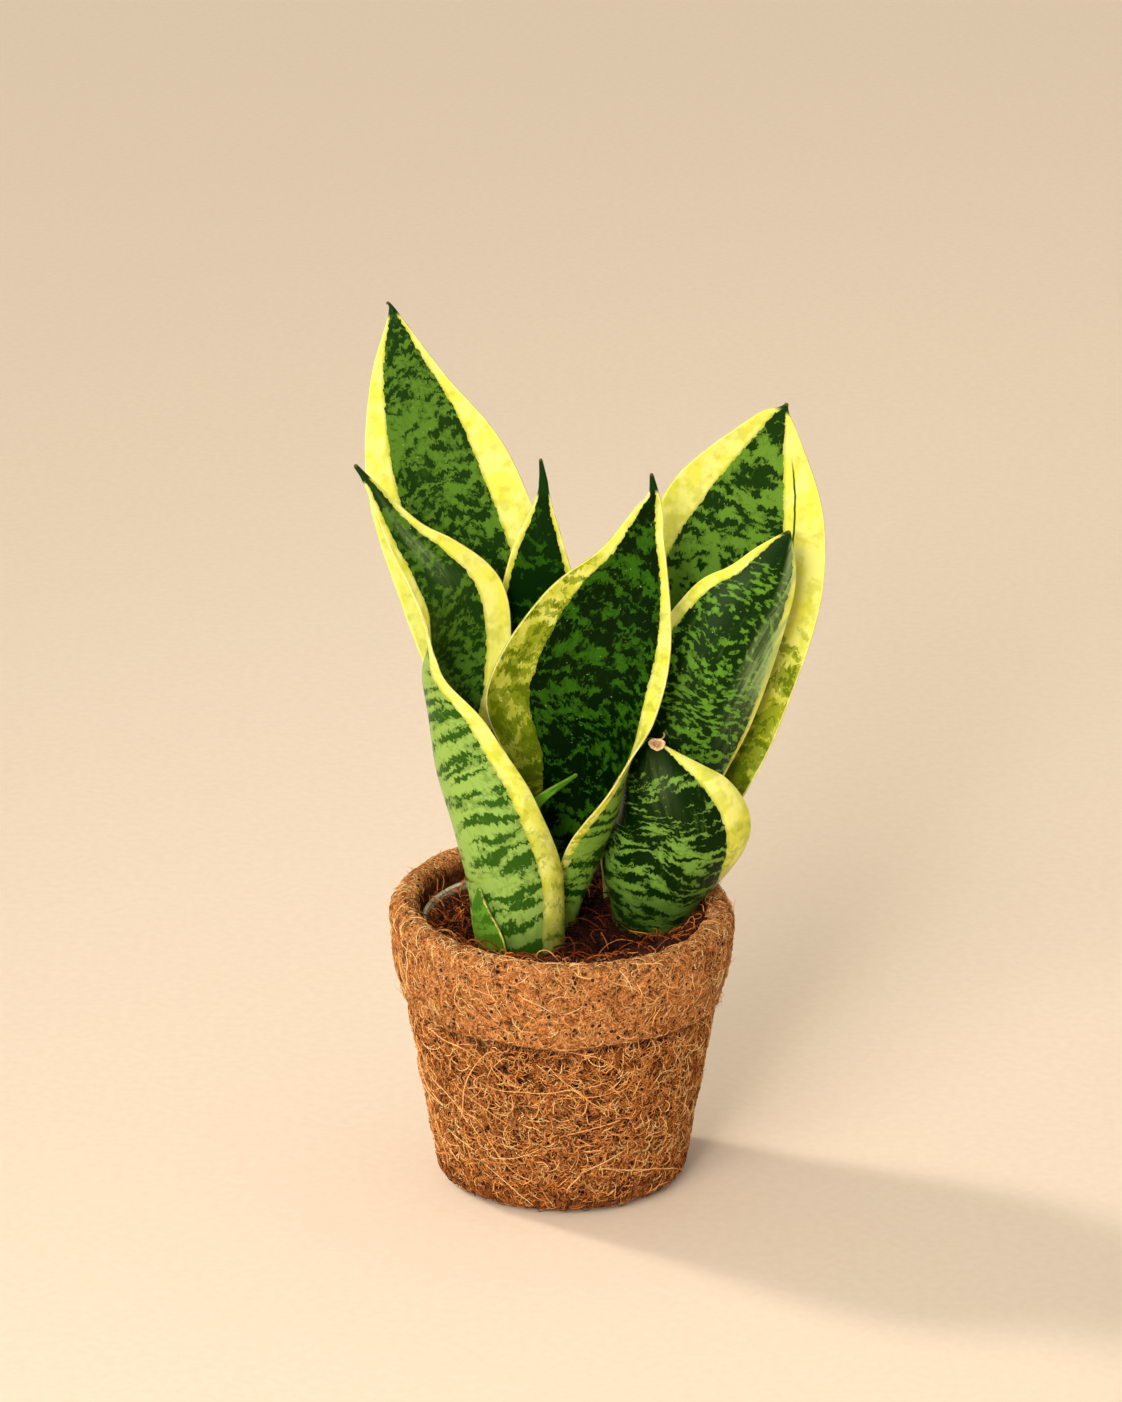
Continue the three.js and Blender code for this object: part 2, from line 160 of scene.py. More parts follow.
LEAVES["leaf_centre"] = dict(
    foot=3.6, blade=2.2, wave=0.3, waves=3, awl=6, seed=4, sheen=0.08,
    # The left margin's strong moss low down is painted shade.
    moss_and_shade=(1.85, -0.45), moss_and_shade_right=(0.5, 0.3),
    ribs=[
        (-2, 5.5, 70, 29, -135, 240), (1.5, 8, 90, 40, -135, 258), (7.5, 11, 107, 54, -136, 270),
        (12, 11, 125, 63, -132, 238), (11, 11, 142, 62, -120, 174), (5.5, 10, 162, 65, -102, 114),
        (15.5, 8, 188, 48, -100, 80), (23, 7, 206, 25, -98, 60), (25.8, 6.5, 217, 14.2, -98, 45),
        (27.7, 6.2, 223.5, 9.2, -98, 35), (29, 6, 229, 3.7, -98, 30), (28.2, 6, 236, 1, -98, 30),
    ],
    margins=[
        (0.3, 0.08), (0.3, 0.08), (0.32, 0.09), (0.35, 0.1), (0.4, 0.14), (0.5, 0.22), (0.4, 0.23),
        (0.34, 0.24), (0.36, 0.38), (0.4, 0.5), (0.3, 0.55), (0, 0.4),
    ],
    inner=look((46, 90, 12), (2, 22, 1), (0.4, 0.42), 5, 2.2, teeth=6),
    outer=look((130, 168, 62), (28, 68, 8), (0.62, 0.6), 18, 3),
)
LEAVES["leaf_back_right"] = dict(
    foot=4, blade=2.2, wave=0.8, waves=5, awl=3, seed=5, sheen=0.16,
    # The right margin's strong moss low down is painted shade.
    moss_and_shade=(0.55, 0.1), moss_and_shade_right=(1.9, -1.2),
    ribs=[
        (24, 26, 70, 22, -95, 140), (25, 28.5, 92, 29, -95, 130), (31, 31, 112, 44, -95, 85),
        (44, 34, 150, 59, -97, 70), (54, 36, 188, 61, -97, 48), (60.5, 37, 218, 51, -96, 35),
        (68, 36, 242, 17, -95, 25), (71, 36, 248, 3.4, -95, 20), (72, 36, 250, 1, -95, 20),
    ],
    margins=[
        (0.2, 0.3), (0.2, 0.35), (0.2, 0.4), (0.2, 0.42), (0.22, 0.44), (0.48, 0.56), (0.6, 0.6),
        (0.5, 0.6), (0.3, 0.3),
    ],
    streak=dict(at=0.6, ribs=(3.9, 5.7)),
    inner=look((102, 144, 44), (13, 46, 4), (0.56, 0.72), 5.2, 2.3),
    outer=HIDDEN_OUTER,
)
LEAVES["leaf_mid_right"] = dict(
    foot=4, blade=2.2, wave=0.3, waves=3, awl=2.5, seed=6, moss_and_shade=(0.5, 0.25), sheen=0.16,
    ribs=[
        (28, 8, 70, 26, 88, 150), (28.5, 6, 100, 36, 88, 140), (32, 7, 128, 42, 87, 125),
        (42, 10, 158, 47, 85, 102), (55.5, 14, 184, 36.5, 85, 75), (63, 15.5, 194, 25.5, 85, 65),
        (67.8, 17, 203, 16, 85, 55), (71.8, 18, 211.5, 3.2, 84, 30), (72.5, 18, 213, 1, 84, 30),
    ],
    margins=[
        (0.08, 0.2), (0.08, 0.2), (0.08, 0.2), (0.1, 0.2), (0.18, 0.26), (0.22, 0.32), (0.22, 0.36),
        (0.2, 0.3), (0.2, 0.2),
    ],
    # A patch of grey wax with a painted sheen on it.
    waxed_sheen=dict(across=(-1, -0.55), share=(0.4, 0.95), face=-1, much=0.95),
    inner=HIDDEN_INNER,
    outer=look((96, 144, 38), (4, 34, 2), (0.5, 0.32), 3.4, 1.6, teeth=2.2, zones=0.15),
)
LEAVES["leaf_front_right"] = dict(
    foot=4.2, blade=2.4, wave=0.3, waves=2, awl=1, dark_tip=5, seed=7, moss_and_shade=(0.6, 0.2), sheen=0.12,
    # The dark green foot tone is painted shade.
    foot_tone_and_shade=(18, 38, 6), foot_top=120,
    ribs=[
        (28, -2.5, 70, 28, 88, 165), (29, -6.5, 88, 40, 88, 168), (30, -8.9, 98, 52, 88, 165),
        (33, -10, 108, 56, 85, 156), (35.6, -10, 119, 58.5, 80, 144),
        (32.4, -8.6, 131, 47, 75, 132), (29.6, -5.2, 141, 27.5, 72, 116),
        (29.4, -3.4, 148, 9, 70, 90), (30.3, -3, 149.5, 4, 70, 60),
    ],
    margins=[
        (0.12, 0.06), (0.14, 0.06), (0.2, 0.06), (0.3, 0.06), (0.42, 0.06), (0.42, 0.07),
        (0.42, 0.12), (0.4, 0.3), (0.4, 0.4),
    ],
    # A patch of grey wax with a painted sheen on it.
    waxed_sheen=dict(across=(-0.15, 0.2), share=(0.6, 0.8), face=-1, much=0.12),
    inner=HIDDEN_INNER,
    outer=look((112, 150, 56), (3, 28, 1), (0.84, -0.12), 9, 1.6, teeth=3, zones=0.2),
)
LEAVES["sprout"] = dict(
    foot=1.8, blade=1.2, wave=0, waves=1, awl=0, seed=8, edge=0.1, moss_and_shade=(0.9, 0.9), sheen=0.2,
    ribs=[
        (-9, -4, 70, 3.4, -60, 40), (-12, -5, 105, 4.4, -60, 40), (-10.5, -5.5, 126, 4.4, -65, 40),
        (4.8, -5, 138.8, 1, -75, 40),
    ],
    margins=[(0, 0)] * 4,
    inner=look((96, 152, 30), (60, 112, 14), (0.3, 1.1), 4, 12),
)
LEAVES["basal_scale"] = dict(
    foot=1.6, blade=1.1, wave=0, waves=1, awl=0, seed=9, edge=0.3, moss_and_shade=(0.6, 0.5), sheen=0.18,
    ribs=[
        (-20, -23.5, 70, 9, 50, 40), (-23.6, -24.2, 88, 13, 48, 45), (-26.1, -23.6, 99, 8, 46, 30),
        (-26.5, -23, 107, 1.2, 40, 20),
    ],
    margins=[(0.1, 0.14), (0.08, 0.12), (0.06, 0.1), (0.05, 0.05)],
    inner=look((100, 148, 44), (62, 108, 22), (0.5, 0.7), 9, 3.4),
)

LEAF_STATIONS = 220
LEAF_COLUMNS = 52

# Seeds of the random draws.
DENT_SEED = 11
FIBRE_SEED = 21
STRAY_SEED = 31
CRUMB_SEED = 41
HUSK_SEED = 51

# ---- helpers: numbers


def smoothstep(low, high, x):
    share = np.clip((x - low) / (high - low), 0, 1)
    return share * share * (3 - 2 * share)


def unit(vectors):
    return vectors / np.maximum(np.linalg.norm(vectors, axis=-1, keepdims=True), 1e-9)


HASH_STEPS = np.array([374761393, 668265263, 2147483647])
HASH_SEED = 974634777
HASH_MIX = 1274126177
HASH_MASK = 0xFFFFFFFF


def circle(count):
    """Angles evenly round a circle."""
    return np.arange(count) / count * 2 * np.pi


def polar(radius, bearing, height):
    """Points from how far out, which way round and how high they are."""
    return np.stack([radius * np.cos(bearing), radius * np.sin(bearing), height], -1)


def bell(x, width):
    """1 at 0, falling off to both sides."""
    return np.exp(-((x / width) ** 2))


def hump(share):
    """A round rise from 0 at both ends to 1 half way."""
    return np.sqrt(np.clip(4 * share * (1 - share), 0, 1))


def noise(points, seed):
    """Smooth noise from -1 to 1 at an array of points, one cell a unit."""
    points = np.asarray(points, float)
    cell = np.floor(points).astype(np.int64)
    share = points - cell
    share = share * share * (3 - 2 * share)
    total = 0
    for corner in itertools.product((0, 1), repeat=3):
        n = cell + np.array(corner)
        mixed = ((n * HASH_STEPS).sum(axis=-1) + seed * HASH_SEED) & HASH_MASK
        mixed = ((mixed ^ (mixed >> 13)) * HASH_MIX) & HASH_MASK
        value = ((mixed ^ (mixed >> 16)) & 0xFFFF) / 32767.5 - 1
        total = total + value * np.prod(np.where(corner, share, 1 - share), axis=-1)
    return total


def catmull(rows, shares):
    """A smooth curve through rows of numbers, at shares 0 to 1 of the way along them."""
    rows = np.asarray(rows, float)
    ends = np.vstack([2 * rows[0] - rows[1], rows, 2 * rows[-1] - rows[-2]])
    place = np.clip(shares, 0, 1) * (len(rows) - 1)
    first = np.minimum(place.astype(int), len(rows) - 2)
    f = (place - first)[:, None]
    before, start, end, after = (ends[first + i] for i in range(4))
    leave, arrive = (end - before) / 2, (after - start) / 2
    return (
        (2 * start - 2 * end + leave + arrive) * f**3
        + (3 * end - 3 * start - 2 * leave - arrive) * f**2
        + leave * f
        + start
    )


def lengths(points):
    """How far along a row of points each one is."""
    steps = np.linalg.norm(np.diff(points, axis=0), axis=1)
    return np.concatenate([[0], np.cumsum(steps)])


# ---- helpers: meshes


def into_scene(name, data):
    made = bpy.data.objects.new(name, data)
    bpy.context.scene.collection.objects.link(made)
    return made


def add_piece(name, points, faces, material, values=None, bake_map=None):
    """A mesh from points in millimetres that rides on the body, with values for its points."""
    mesh = bpy.data.meshes.new(name)
    mesh.from_pydata(np.asarray(points) * MM, [], faces, shade_flat=False)
    for key, numbers in (values or {}).items():
        wide = np.ndim(numbers) > 1
        layer = mesh.attributes.new(key, "FLOAT_VECTOR" if wide else "FLOAT", "POINT")
        layer.data.foreach_set("vector" if wide else "value", np.ravel(numbers).astype(np.float32))
    if bake_map is not None:
        corners = mesh.uv_layers.new(name="OFBake").data
        corners.foreach_set("uv", np.ravel(bake_map).astype(np.float32))
    mesh.materials.append(material)
    piece = into_scene(name, mesh)
    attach(piece, "root")
    return piece


# A quad's corners in the order of grid_faces: steps from row to row, and from column to column.
QUAD = ((0, 0), (0, 1), (1, 1), (1, 0))


def grid_faces(rows, columns, closed=False):
    """Quads of a grid of points, closed round its rows or not."""
    last = columns if closed else columns - 1
    i, j = np.meshgrid(np.arange(rows - 1), np.arange(last), indexing="ij")
    i, j = i.ravel(), j.ravel()
    after = (j + 1) % columns
    here, next_row = i * columns, (i + 1) * columns
    return np.stack([here + j, here + after, next_row + after, next_row + j], 1)


def fibres(name, paths, facing, radii, sides, material, tones):
    """Closed round hairs along an array of paths, (fibre, point, xyz), thinner at both ends."""
    count, steps = paths.shape[:2]
    run = unit(np.gradient(paths, axis=1))
    aside = unit(np.cross(run, facing))
    out = np.cross(aside, run)
    share = np.linspace(0, 1, steps)
    taper = 0.35 + 0.65 * hump(share)
    around = circle(sides)
    size = radii[:, None, None, None] * taper[None, :, None, None]
    ring = (
        np.cos(around)[None, None, :, None] * aside[:, :, None]
        + np.sin(around)[None, None, :, None] * out[:, :, None]
    )
    points = (paths[:, :, None] + size * ring).reshape(-1, 3)
    one = grid_faces(steps, sides, closed=True)
    starts = np.arange(count) * steps * sides
    walls = (one[None] + starts[:, None, None]).reshape(-1, 4)
    foot = np.arange(sides)[::-1][None] + starts[:, None]
    tip = np.arange(sides)[None] + (steps - 1) * sides + starts[:, None]
    faces = walls.tolist() + foot.tolist() + tip.tolist()
    # Each hair has its own small cell of the map that its colours are baked to.
    wide = math.ceil(math.sqrt(count))
    cell = np.stack([np.arange(count) % wide, np.arange(count) // wide], 1) / wide
    i, j = np.divmod(np.arange(len(one)), sides)
    corners = np.stack([np.stack([(i + a) / steps, (j + b) / sides], 1) for a, b in QUAD], 1)
    wall_map = (cell[:, None, None] + (0.1 + 0.8 * corners[None]) / wide).reshape(-1, 2)
    cap = (0.95 + 0.04 * np.stack([np.cos(around), np.sin(around)], 1)) / wide
    cap_map = (cell[:, None] + cap[None]).reshape(-1, 2)
    bake_map = np.concatenate([wall_map, cap_map, cap_map])
    values = {"tone": np.repeat(tones, steps * sides)}
    add_piece(name, points, faces, material, values, bake_map)


# ---- helpers: materials


def srgb(red, green, blue):
    """A colour as 0 to 255 on the screen, for Blender's linear sockets."""
    parts = [c / 255 for c in (red, green, blue)]
    return (*(((c + 0.055) / 1.055) ** 2.4 if c > 10 / 255 else c / 12.92 for c in parts), 1.0)


class Shader:
    """A material whose nodes are written as short sums."""

    def __init__(self, name):
        self.material = bpy.data.materials.new(name)
        self.material.use_nodes = True
        self.tree = self.material.node_tree
        self.tree.nodes.clear()

    def node(self, kind, inputs, **settings):
        made = self.tree.nodes.new(kind)
        for key, value in settings.items():
            setattr(made, key, value)
        for key, value in inputs.items():
            if isinstance(value, bpy.types.NodeSocket):
                self.tree.links.new(value, made.inputs[key])
            else:
                made.inputs[key].default_value = value
        return made

    def math(self, operation, a, b=0.0):
        return self.node("ShaderNodeMath", {0: a, 1: b}, operation=operation).outputs[0]

    def sum(self, *terms):
        total = terms[0]
        for term in terms[1:]:
            total = self.math("ADD", total, term)
        return total

    def times(self, a, b):
        return self.math("MULTIPLY", a, b)

    def between(self, value, low, high, start=0.0, end=1.0):
        """start below low, end above high, and a smooth step from one to the other."""
        inputs = {"Value": value, "From Min": low, "From Max": high, "To Min": start, "To Max": end}
        return self.node("ShaderNodeMapRange", inputs, interpolation_type="SMOOTHSTEP").outputs[0]

    def scaled(self, share, start, end, clamp=True):
        """start where share is 0, end where it is 1, in a straight line."""
        return self.node("ShaderNodeMapRange", {0: share, 3: start, 4: end}, clamp=clamp).outputs[0]

    def blend(self, factor, a, b):
        """From colour a to b. Each is an output, or numbers from 0 to 255 on the screen."""
        a, b = (srgb(*colour) if isinstance(colour, tuple) else colour for colour in (a, b))
        inputs = {"Factor": factor, 6: a, 7: b}
        return self.node("ShaderNodeMix", inputs, data_type="RGBA").outputs[2]

    def attribute(self, name, output="Fac"):
        return self.node("ShaderNodeAttribute", {}, attribute_name=name).outputs[output]

    def split(self, vector):
        return self.node("ShaderNodeSeparateXYZ", {0: vector}).outputs

    def join(self, x, y, z):
        return self.node("ShaderNodeCombineXYZ", {0: x, 1: y, 2: z}).outputs[0]

    def place(self):
        """The surface point in millimetres."""
        inputs = {0: self.node("ShaderNodeTexCoord", {}).outputs["Object"], "Scale": 1 / MM}
        return self.node("ShaderNodeVectorMath", inputs, operation="SCALE").outputs[0]

    def noise(self, vector, scale=1.0, detail=2.0, roughness=0.5):
        inputs = {"Vector": vector, "Scale": scale, "Detail": detail, "Roughness": roughness}
        return self.node("ShaderNodeTexNoise", inputs).outputs["Fac"]

    def finish(self, colour, roughness, sheen=0.5, tint=(1, 1, 1, 1), relief=None, depth=0):
        """The material, with a relief that is depth millimetres high."""
        inputs = {"Base Color": colour, "Roughness": roughness}
        inputs |= {"Specular IOR Level": sheen, "Specular Tint": tint}
        if relief is not None:
            bump = {"Height": relief, "Distance": depth * MM, "Strength": 1.0}
            inputs["Normal"] = self.node("ShaderNodeBump", bump).outputs[0]
        skin = self.node("ShaderNodeBsdfPrincipled", inputs)
        self.node("ShaderNodeOutputMaterial", {"Surface": skin.outputs[0]})
        return self.material


# ---- leaf material

MARGIN_YELLOW = (237, 234, 90)
MARGIN_PALE = (244, 241, 132)
MARGIN_LIME = (202, 204, 50)
MARGIN_MOSS = (136, 150, 20)
MARGIN_OLIVE = (84, 104, 4)
EDGE_LINE = (250, 246, 150)
EDGE_RUST = (176, 128, 44)
AWL_GREEN = (14, 48, 10)
AWL_DRY = (104, 86, 48)
STREAK_GREEN = (30, 76, 20)
# The grey of wax with a painted sheen on it.
WAX_SHEEN_GREY = (160, 186, 118)
SPECK_PALE = (208, 222, 150)
FOOT_OLIVE = (104, 108, 20)
FOOT_BARE = 91  # height below which a leaf's foot has its full tone
SHEEN_TINT = (0.7, 1.0, 0.42, 1.0)


def leaf_material(name, leaf):
    s = Shader(name)
    across, along, outer = s.split(s.attribute("blade", "Vector"))
    core = s.attribute("core")
    edge = s.attribute("edge")
    tip = s.attribute("tip")
    share = s.attribute("share")
    inside = leaf["inner"]
    outside = leaf.get("outer", inside)
    salt = s.sum(s.times(outer, 31.7), leaf["seed"] * 13.1)

    def per_face(key):
        return s.scaled(outer, inside[key], outside[key])

    def grain(wide, long, detail=2.0, roughness=0.5, rows=along):
        spot = s.join(s.times(across, wide), s.times(rows, long), salt)
        return s.noise(spot, detail=detail, roughness=roughness)

    # Cross bands: noise that is longer across the blade than along it, with lengthwise teeth.
    teeth = grain(0.85, 0.4, 2, 0.6)
    shift = s.times(teeth, per_face("teeth"))
    shift = s.sum(shift, s.times(grain(0.05, 0.04, 1), 15))
    row = s.sum(along, shift)
    reach = s.math("DIVIDE", across, per_face("across"))
    level = s.math("DIVIDE", row, per_face("along"))
    bands = s.noise(s.join(reach, level, salt), detail=2.5, roughness=0.5)
    islands = grain(0.5, 0.36, 2, 0.55)
    zones = grain(0.03, 0.085, 1)
    uneven = per_face("zones")
    level_sum = s.sum(bands, s.times(islands, 0.34), s.times(s.sum(zones, -0.5), uneven), -0.17)
    cover = s.scaled(outer, s.scaled(share, *inside["cover"]), s.scaled(share, *outside["cover"]))
    awl = leaf["awl"]
    shaded = s.between(tip, awl + 1, awl + leaf.get("dark_tip", 15), 0.5, 0.0)
    cover = s.math("SUBTRACT", cover, shaded)
    threshold = s.scaled(cover, 0.68, 0.32, clamp=False)
    above = s.math("SUBTRACT", level_sum, threshold)
    lit = s.between(above, -0.008, 0.01)

    # Two greens with a third between them, each a little uneven.
    mottle = grain(0.5, 0.16, 3, 0.6)
    light = s.blend(outer, inside["light"], outside["light"])
    dark = s.blend(outer, inside["dark"], outside["dark"])
    half_way = s.blend(0.4, light, dark)
    bright = s.blend(s.between(above, 0.03, 0.1), half_way, light)
    bright = s.blend(s.between(mottle, 0.5, 0.66, 0.0, 0.4), bright, half_way)
    dark = s.blend(s.between(mottle, 0.55, 0.75, 0.0, 0.3), dark, half_way)
    green = s.blend(lit, dark, bright)

    # Yellow margins: soft clouds, greener low down with ragged olive patches, and a pale edge line.
    # On the centre and back right leaves, the dark olive low down is painted shade.
    clouds = grain(0.2, 0.12, 3, 0.55)
    moss_and_shade = s.attribute("moss_and_shade")
    patches = s.sum(grain(0.15, 0.36, 2.5, 0.55, row), s.times(s.math("MINIMUM", moss_and_shade, 0.85), 0.32))
    soft = s.sum(grain(0.2, 0.22, 2), s.times(moss_and_shade, 0.3))
    ragged = s.between(moss_and_shade, 0.35, 0.5)
    mossy = s.between(moss_and_shade, 0.45, 1.1, 0.0, 0.75)
    patch = s.blend(s.between(moss_and_shade, 0.6, 1.1), MARGIN_MOSS, MARGIN_OLIVE)
    yellow = s.blend(s.between(clouds, 0.42, 0.62), MARGIN_PALE, MARGIN_YELLOW)
    yellow = s.blend(s.between(soft, 0.52, 0.76, 0.0, 0.6), yellow, MARGIN_LIME)
    yellow = s.blend(mossy, yellow, MARGIN_MOSS)
    yellow = s.blend(s.times(ragged, s.between(patches, 0.66, 0.71, 0.1, 0.85)), yellow, patch)
    thick = s.times(ragged, s.between(patches, 0.78, 0.82, 0.0, 0.8))
    yellow = s.blend(thick, yellow, MARGIN_OLIVE)
    yellow = s.blend(s.between(core, -1.4, 0.1, 0.0, 0.35), yellow, MARGIN_OLIVE)
    outline = leaf.get("edge", 0.7)
    yellow = s.blend(s.between(edge, 0.15, 0.5, outline, 0.0), yellow, EDGE_LINE)
    jagged = s.sum(core, s.times(teeth, 2.0), -1.0)
    colour = s.blend(s.between(jagged, -0.12, 0.12), yellow, green)
    rusty = s.times(s.between(edge, 0.0, 0.12, outline, 0.0), s.between(clouds, 0.4, 0.6))
    colour = s.blend(rusty, colour, EDGE_RUST)
    if "streak" in leaf:
        line = s.attribute("streak")
        aside = s.math("ABSOLUTE", s.sum(line, s.times(grain(0.2, 0.2), 0.8), -0.4))
        marked = s.times(s.between(aside, 0.2, 0.45, 1.0, 0.0), s.attribute("streaked"))
        colour = s.blend(marked, colour, STREAK_GREEN)

    # Grey wax with a painted sheen, sparse pale specks, an olive foot that is painted shade on the
    # front leaves, and the dark awl with its dried end.
    # The grey wax patches carry a painted sheen.
    wax_sheen = s.between(grain(0.42, 0.035, 3, 0.65), 0.38, 0.66, 0.2, 1.0)
    colour = s.blend(s.times(wax_sheen, s.attribute("wax_sheen")), colour, WAX_SHEEN_GREY)
    specks = s.noise(s.join(across, along, salt), scale=1.5, detail=0)
    colour = s.blend(s.between(specks, 0.86, 0.89, 0.0, 0.7), colour, SPECK_PALE)
    # The foot's tone: an olive tint, and on the front leaves a dark green painted as shade.
    height = s.sum(s.split(s.place())[2], s.times(clouds, 14))
    low = s.between(height, FOOT_BARE, leaf.get("foot_top", 104), 0.75, 0.0)
    colour = s.blend(low, colour, leaf.get("foot_tone_and_shade", FOOT_OLIVE))
    if awl > 0:
        colour = s.blend(s.between(tip, awl - 1.0, awl + 1.0, 1.0, 0.0), colour, AWL_GREEN)
        colour = s.blend(s.between(tip, 0.2, 1.2, 1.0, 0.0), colour, AWL_DRY)

    # A waxy skin with fine lengthwise lines.
    lines = grain(3.2, 0.07)
    relief = s.sum(s.times(lines, 0.5), s.times(lit, 0.25), s.times(mottle, 0.6))
    gloss = grain(0.12, 0.05, 3)
    roughness = s.between(gloss, 0.3, 0.7, 0.32, 0.5)
    return s.finish(colour, roughness, leaf["sheen"], SHEEN_TINT, relief, depth=0.09)


# ---- leaf shapes


def blade_edge(distance, half):
    """How much of the blade's half thickness is left at a distance from its rounded edge."""
    inset = np.clip(1 - distance / half, 0, 1)
    return np.maximum(np.sqrt(1 - inset**2), 0.12)


def leaf_piece(name, leaf):
    """The blade's two faces, as rings of points round it from foot to tip."""
    ribs = np.array(leaf["ribs"], float)
    even = np.linspace(0, 1, LEAF_STATIONS)
    t = np.sort(np.concatenate([even, 1 - 0.25 / LEAF_STATIONS * np.arange(1, 8)]))
    rows = catmull(ribs, t)
    centre, width = rows[:, :3], np.maximum(rows[:, 3], 1)
    bearing, roll = np.radians(rows[:, 4]), np.radians(np.maximum(rows[:, 5], 5))
    ahead, behind = (catmull(ribs, t + step)[:, :3] for step in (RUN_LENGTH, -RUN_LENGTH))
    run = unit(ahead - behind)
    inward = np.stack([np.cos(bearing), np.sin(bearing), 0 * bearing], 1)
    inward = unit(inward - np.sum(inward * run, axis=1, keepdims=True) * run)
    sideways = np.cross(run, inward)
    along = lengths(centre)
    to_tip = along[-1] - along

    spread = np.sin(np.linspace(-1, 1, LEAF_COLUMNS + 1) * np.pi / 2)
    u = np.concatenate([spread, spread[::-1]])[None]
    face = np.repeat([1.0, -1.0], LEAF_COLUMNS + 1)[None]
    closing = np.sqrt(np.clip(1 - np.clip(1 - to_tip / 0.6, 0, 1) ** 2, 0.02, 1))
    shown = (width * closing)[:, None]
    radius = shown / roll[:, None]
    angle = u * roll[:, None] / 2
    flesh = leaf["foot"] + (leaf["blade"] - leaf["foot"]) * smoothstep(0, FLESHY_SHARE, t)
    edge_half = EDGE_THICKNESS / 2
    middle = np.minimum(flesh / 2, np.maximum(TIP_PLUMPNESS * width, edge_half)) * closing
    least = edge_half * closing
    half = least[:, None] + (middle - least)[:, None] * (1 - np.abs(u) ** EDGE_TAPER)
    to_edge = (1 - np.abs(u)) * shown / 2
    half = half * blade_edge(to_edge, np.minimum(edge_half, shown / 4))
    ripple = leaf["wave"] * np.abs(u) ** 3 * np.sin(np.pi * t)[:, None]
    ripple = ripple * np.sin(2 * np.pi * leaf["waves"] * t[:, None] + 1.3 * u)
    across = u * shown / 2
    grain = np.stack([across / 7, along[:, None] / 16 + 0 * u, 0 * across + leaf["seed"]], -1)
    ripple = ripple + 0.12 * noise(grain, leaf["seed"]) * smoothstep(2, 8, shown)
    inward, sideways = inward[:, None], sideways[:, None]
    normal = inward * np.cos(angle)[..., None] - sideways * np.sin(angle)[..., None]
    points = (
        centre[:, None]
        + sideways * (radius * np.sin(angle))[..., None]
        + inward * (radius * (1 - np.cos(angle)))[..., None]
        + normal * (ripple + face * half)[..., None]
    )

    ring = 2 * (LEAF_COLUMNS + 1)
    stations = len(t)
    faces = grid_faces(stations, ring, closed=True)
    j = np.arange(LEAF_COLUMNS)
    opposite = ring - 1 - j
    foot_cap = np.stack([j + 1, j, opposite, opposite - 1], 1)
    last = (stations - 1) * ring
    tip_cap = last + np.stack([j, j + 1, opposite - 1, opposite], 1)

    margins = catmull(leaf["margins"], t)
    yellow = np.where(u < 0, margins[:, :1], margins[:, 1:]) * shown / 2
    outer = np.broadcast_to((1 - face) / 2, across.shape)
    values = {
        "blade": np.stack([across, along[:, None] + 0 * u, outer], -1).reshape(-1, 3),
        "edge": to_edge.ravel(),
        "core": (to_edge - yellow).ravel(),
        "tip": (to_tip[:, None] + 0 * u).ravel(),
        "share": (t[:, None] + 0 * u).ravel(),
    }
    # A margin's moss per point; above 1 it is painted shade.
    sides = (leaf["moss_and_shade"], leaf.get("moss_and_shade_right", leaf["moss_and_shade"]))
    left, right = (np.maximum(np.interp(t, (0, 1), side), 0.05)[:, None] for side in sides)
    values["moss_and_shade"] = np.where(u < 0, left, right).ravel()
    # Where the grey wax with its painted sheen lies, on which face and how strongly.
    waxed_sheen = leaf.get("waxed_sheen", dict(across=(0, 0.1), share=(0, 1), face=1, much=0))
    left, right = waxed_sheen["across"]
    low, high = waxed_sheen["share"]
    wax_sheen = smoothstep(left - 0.2, left + 0.15, u) * smoothstep(right + 0.2, right - 0.15, u)
    lengthwise = smoothstep(low - 0.1, low + 0.08, t) * smoothstep(high + 0.1, high - 0.08, t)
    wax_sheen = wax_sheen * lengthwise[:, None]
    values["wax_sheen"] = (waxed_sheen["much"] * wax_sheen * (face * waxed_sheen["face"] > 0)).ravel()
    if "streak" in leaf:
        streak = leaf["streak"]
        first, end = streak["ribs"]
        place = t * (len(ribs) - 1)
        window = smoothstep(first, first + 0.3, place) * (1 - smoothstep(end - 0.3, end, place))
        values["streak"] = ((u - streak["at"]) * shown / 2).ravel()
        values["streaked"] = (window[:, None] * (face > 0)).ravel()

    # The baked map lays the inner face beside the outer one.
    column = np.arange(ring + 1) / (ring + 1)
    station = t * 0.96 + 0.02
    i, k = np.divmod(np.arange(len(faces)), ring)
    corners = [np.stack([column[k + b], station[i + a]], 1) for a, b in QUAD]
    caps = np.stack([np.repeat((j + 0.5) / ring, 4), np.zeros(4 * LEAF_COLUMNS)], 1)
    small = [[0, 0.002], [0.001, 0.002], [0.001, 0.012], [0, 0.012]]
    foot_map = caps + np.tile(small, (LEAF_COLUMNS, 1))
    face_map = np.stack(corners, 1).reshape(-1, 2)
    bake_map = np.concatenate([face_map, foot_map, foot_map + [0, 0.985]])
    quads = np.concatenate([faces, foot_cap, tip_cap])
    points, material = points.reshape(-1, 3), leaf_material(name, leaf)
    piece = add_piece(name + "_blade", points, quads, material, values, bake_map)
    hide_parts(name)


def dried_tip_material():
    s = Shader("dried_leaf_tip")
    grain = s.noise(s.place(), scale=1.6, detail=4, roughness=0.65)
    rim = s.blend(s.between(grain, 0.35, 0.65), (246, 222, 180), (222, 184, 134))
    hollow = s.blend(s.between(grain, 0.4, 0.6), (206, 162, 112), (160, 114, 70))
    colour = s.blend(s.between(s.attribute("rim"), 0.45, 0.75), hollow, rim)
    return s.finish(colour, roughness=0.85, sheen=0.2, relief=grain, depth=0.3)


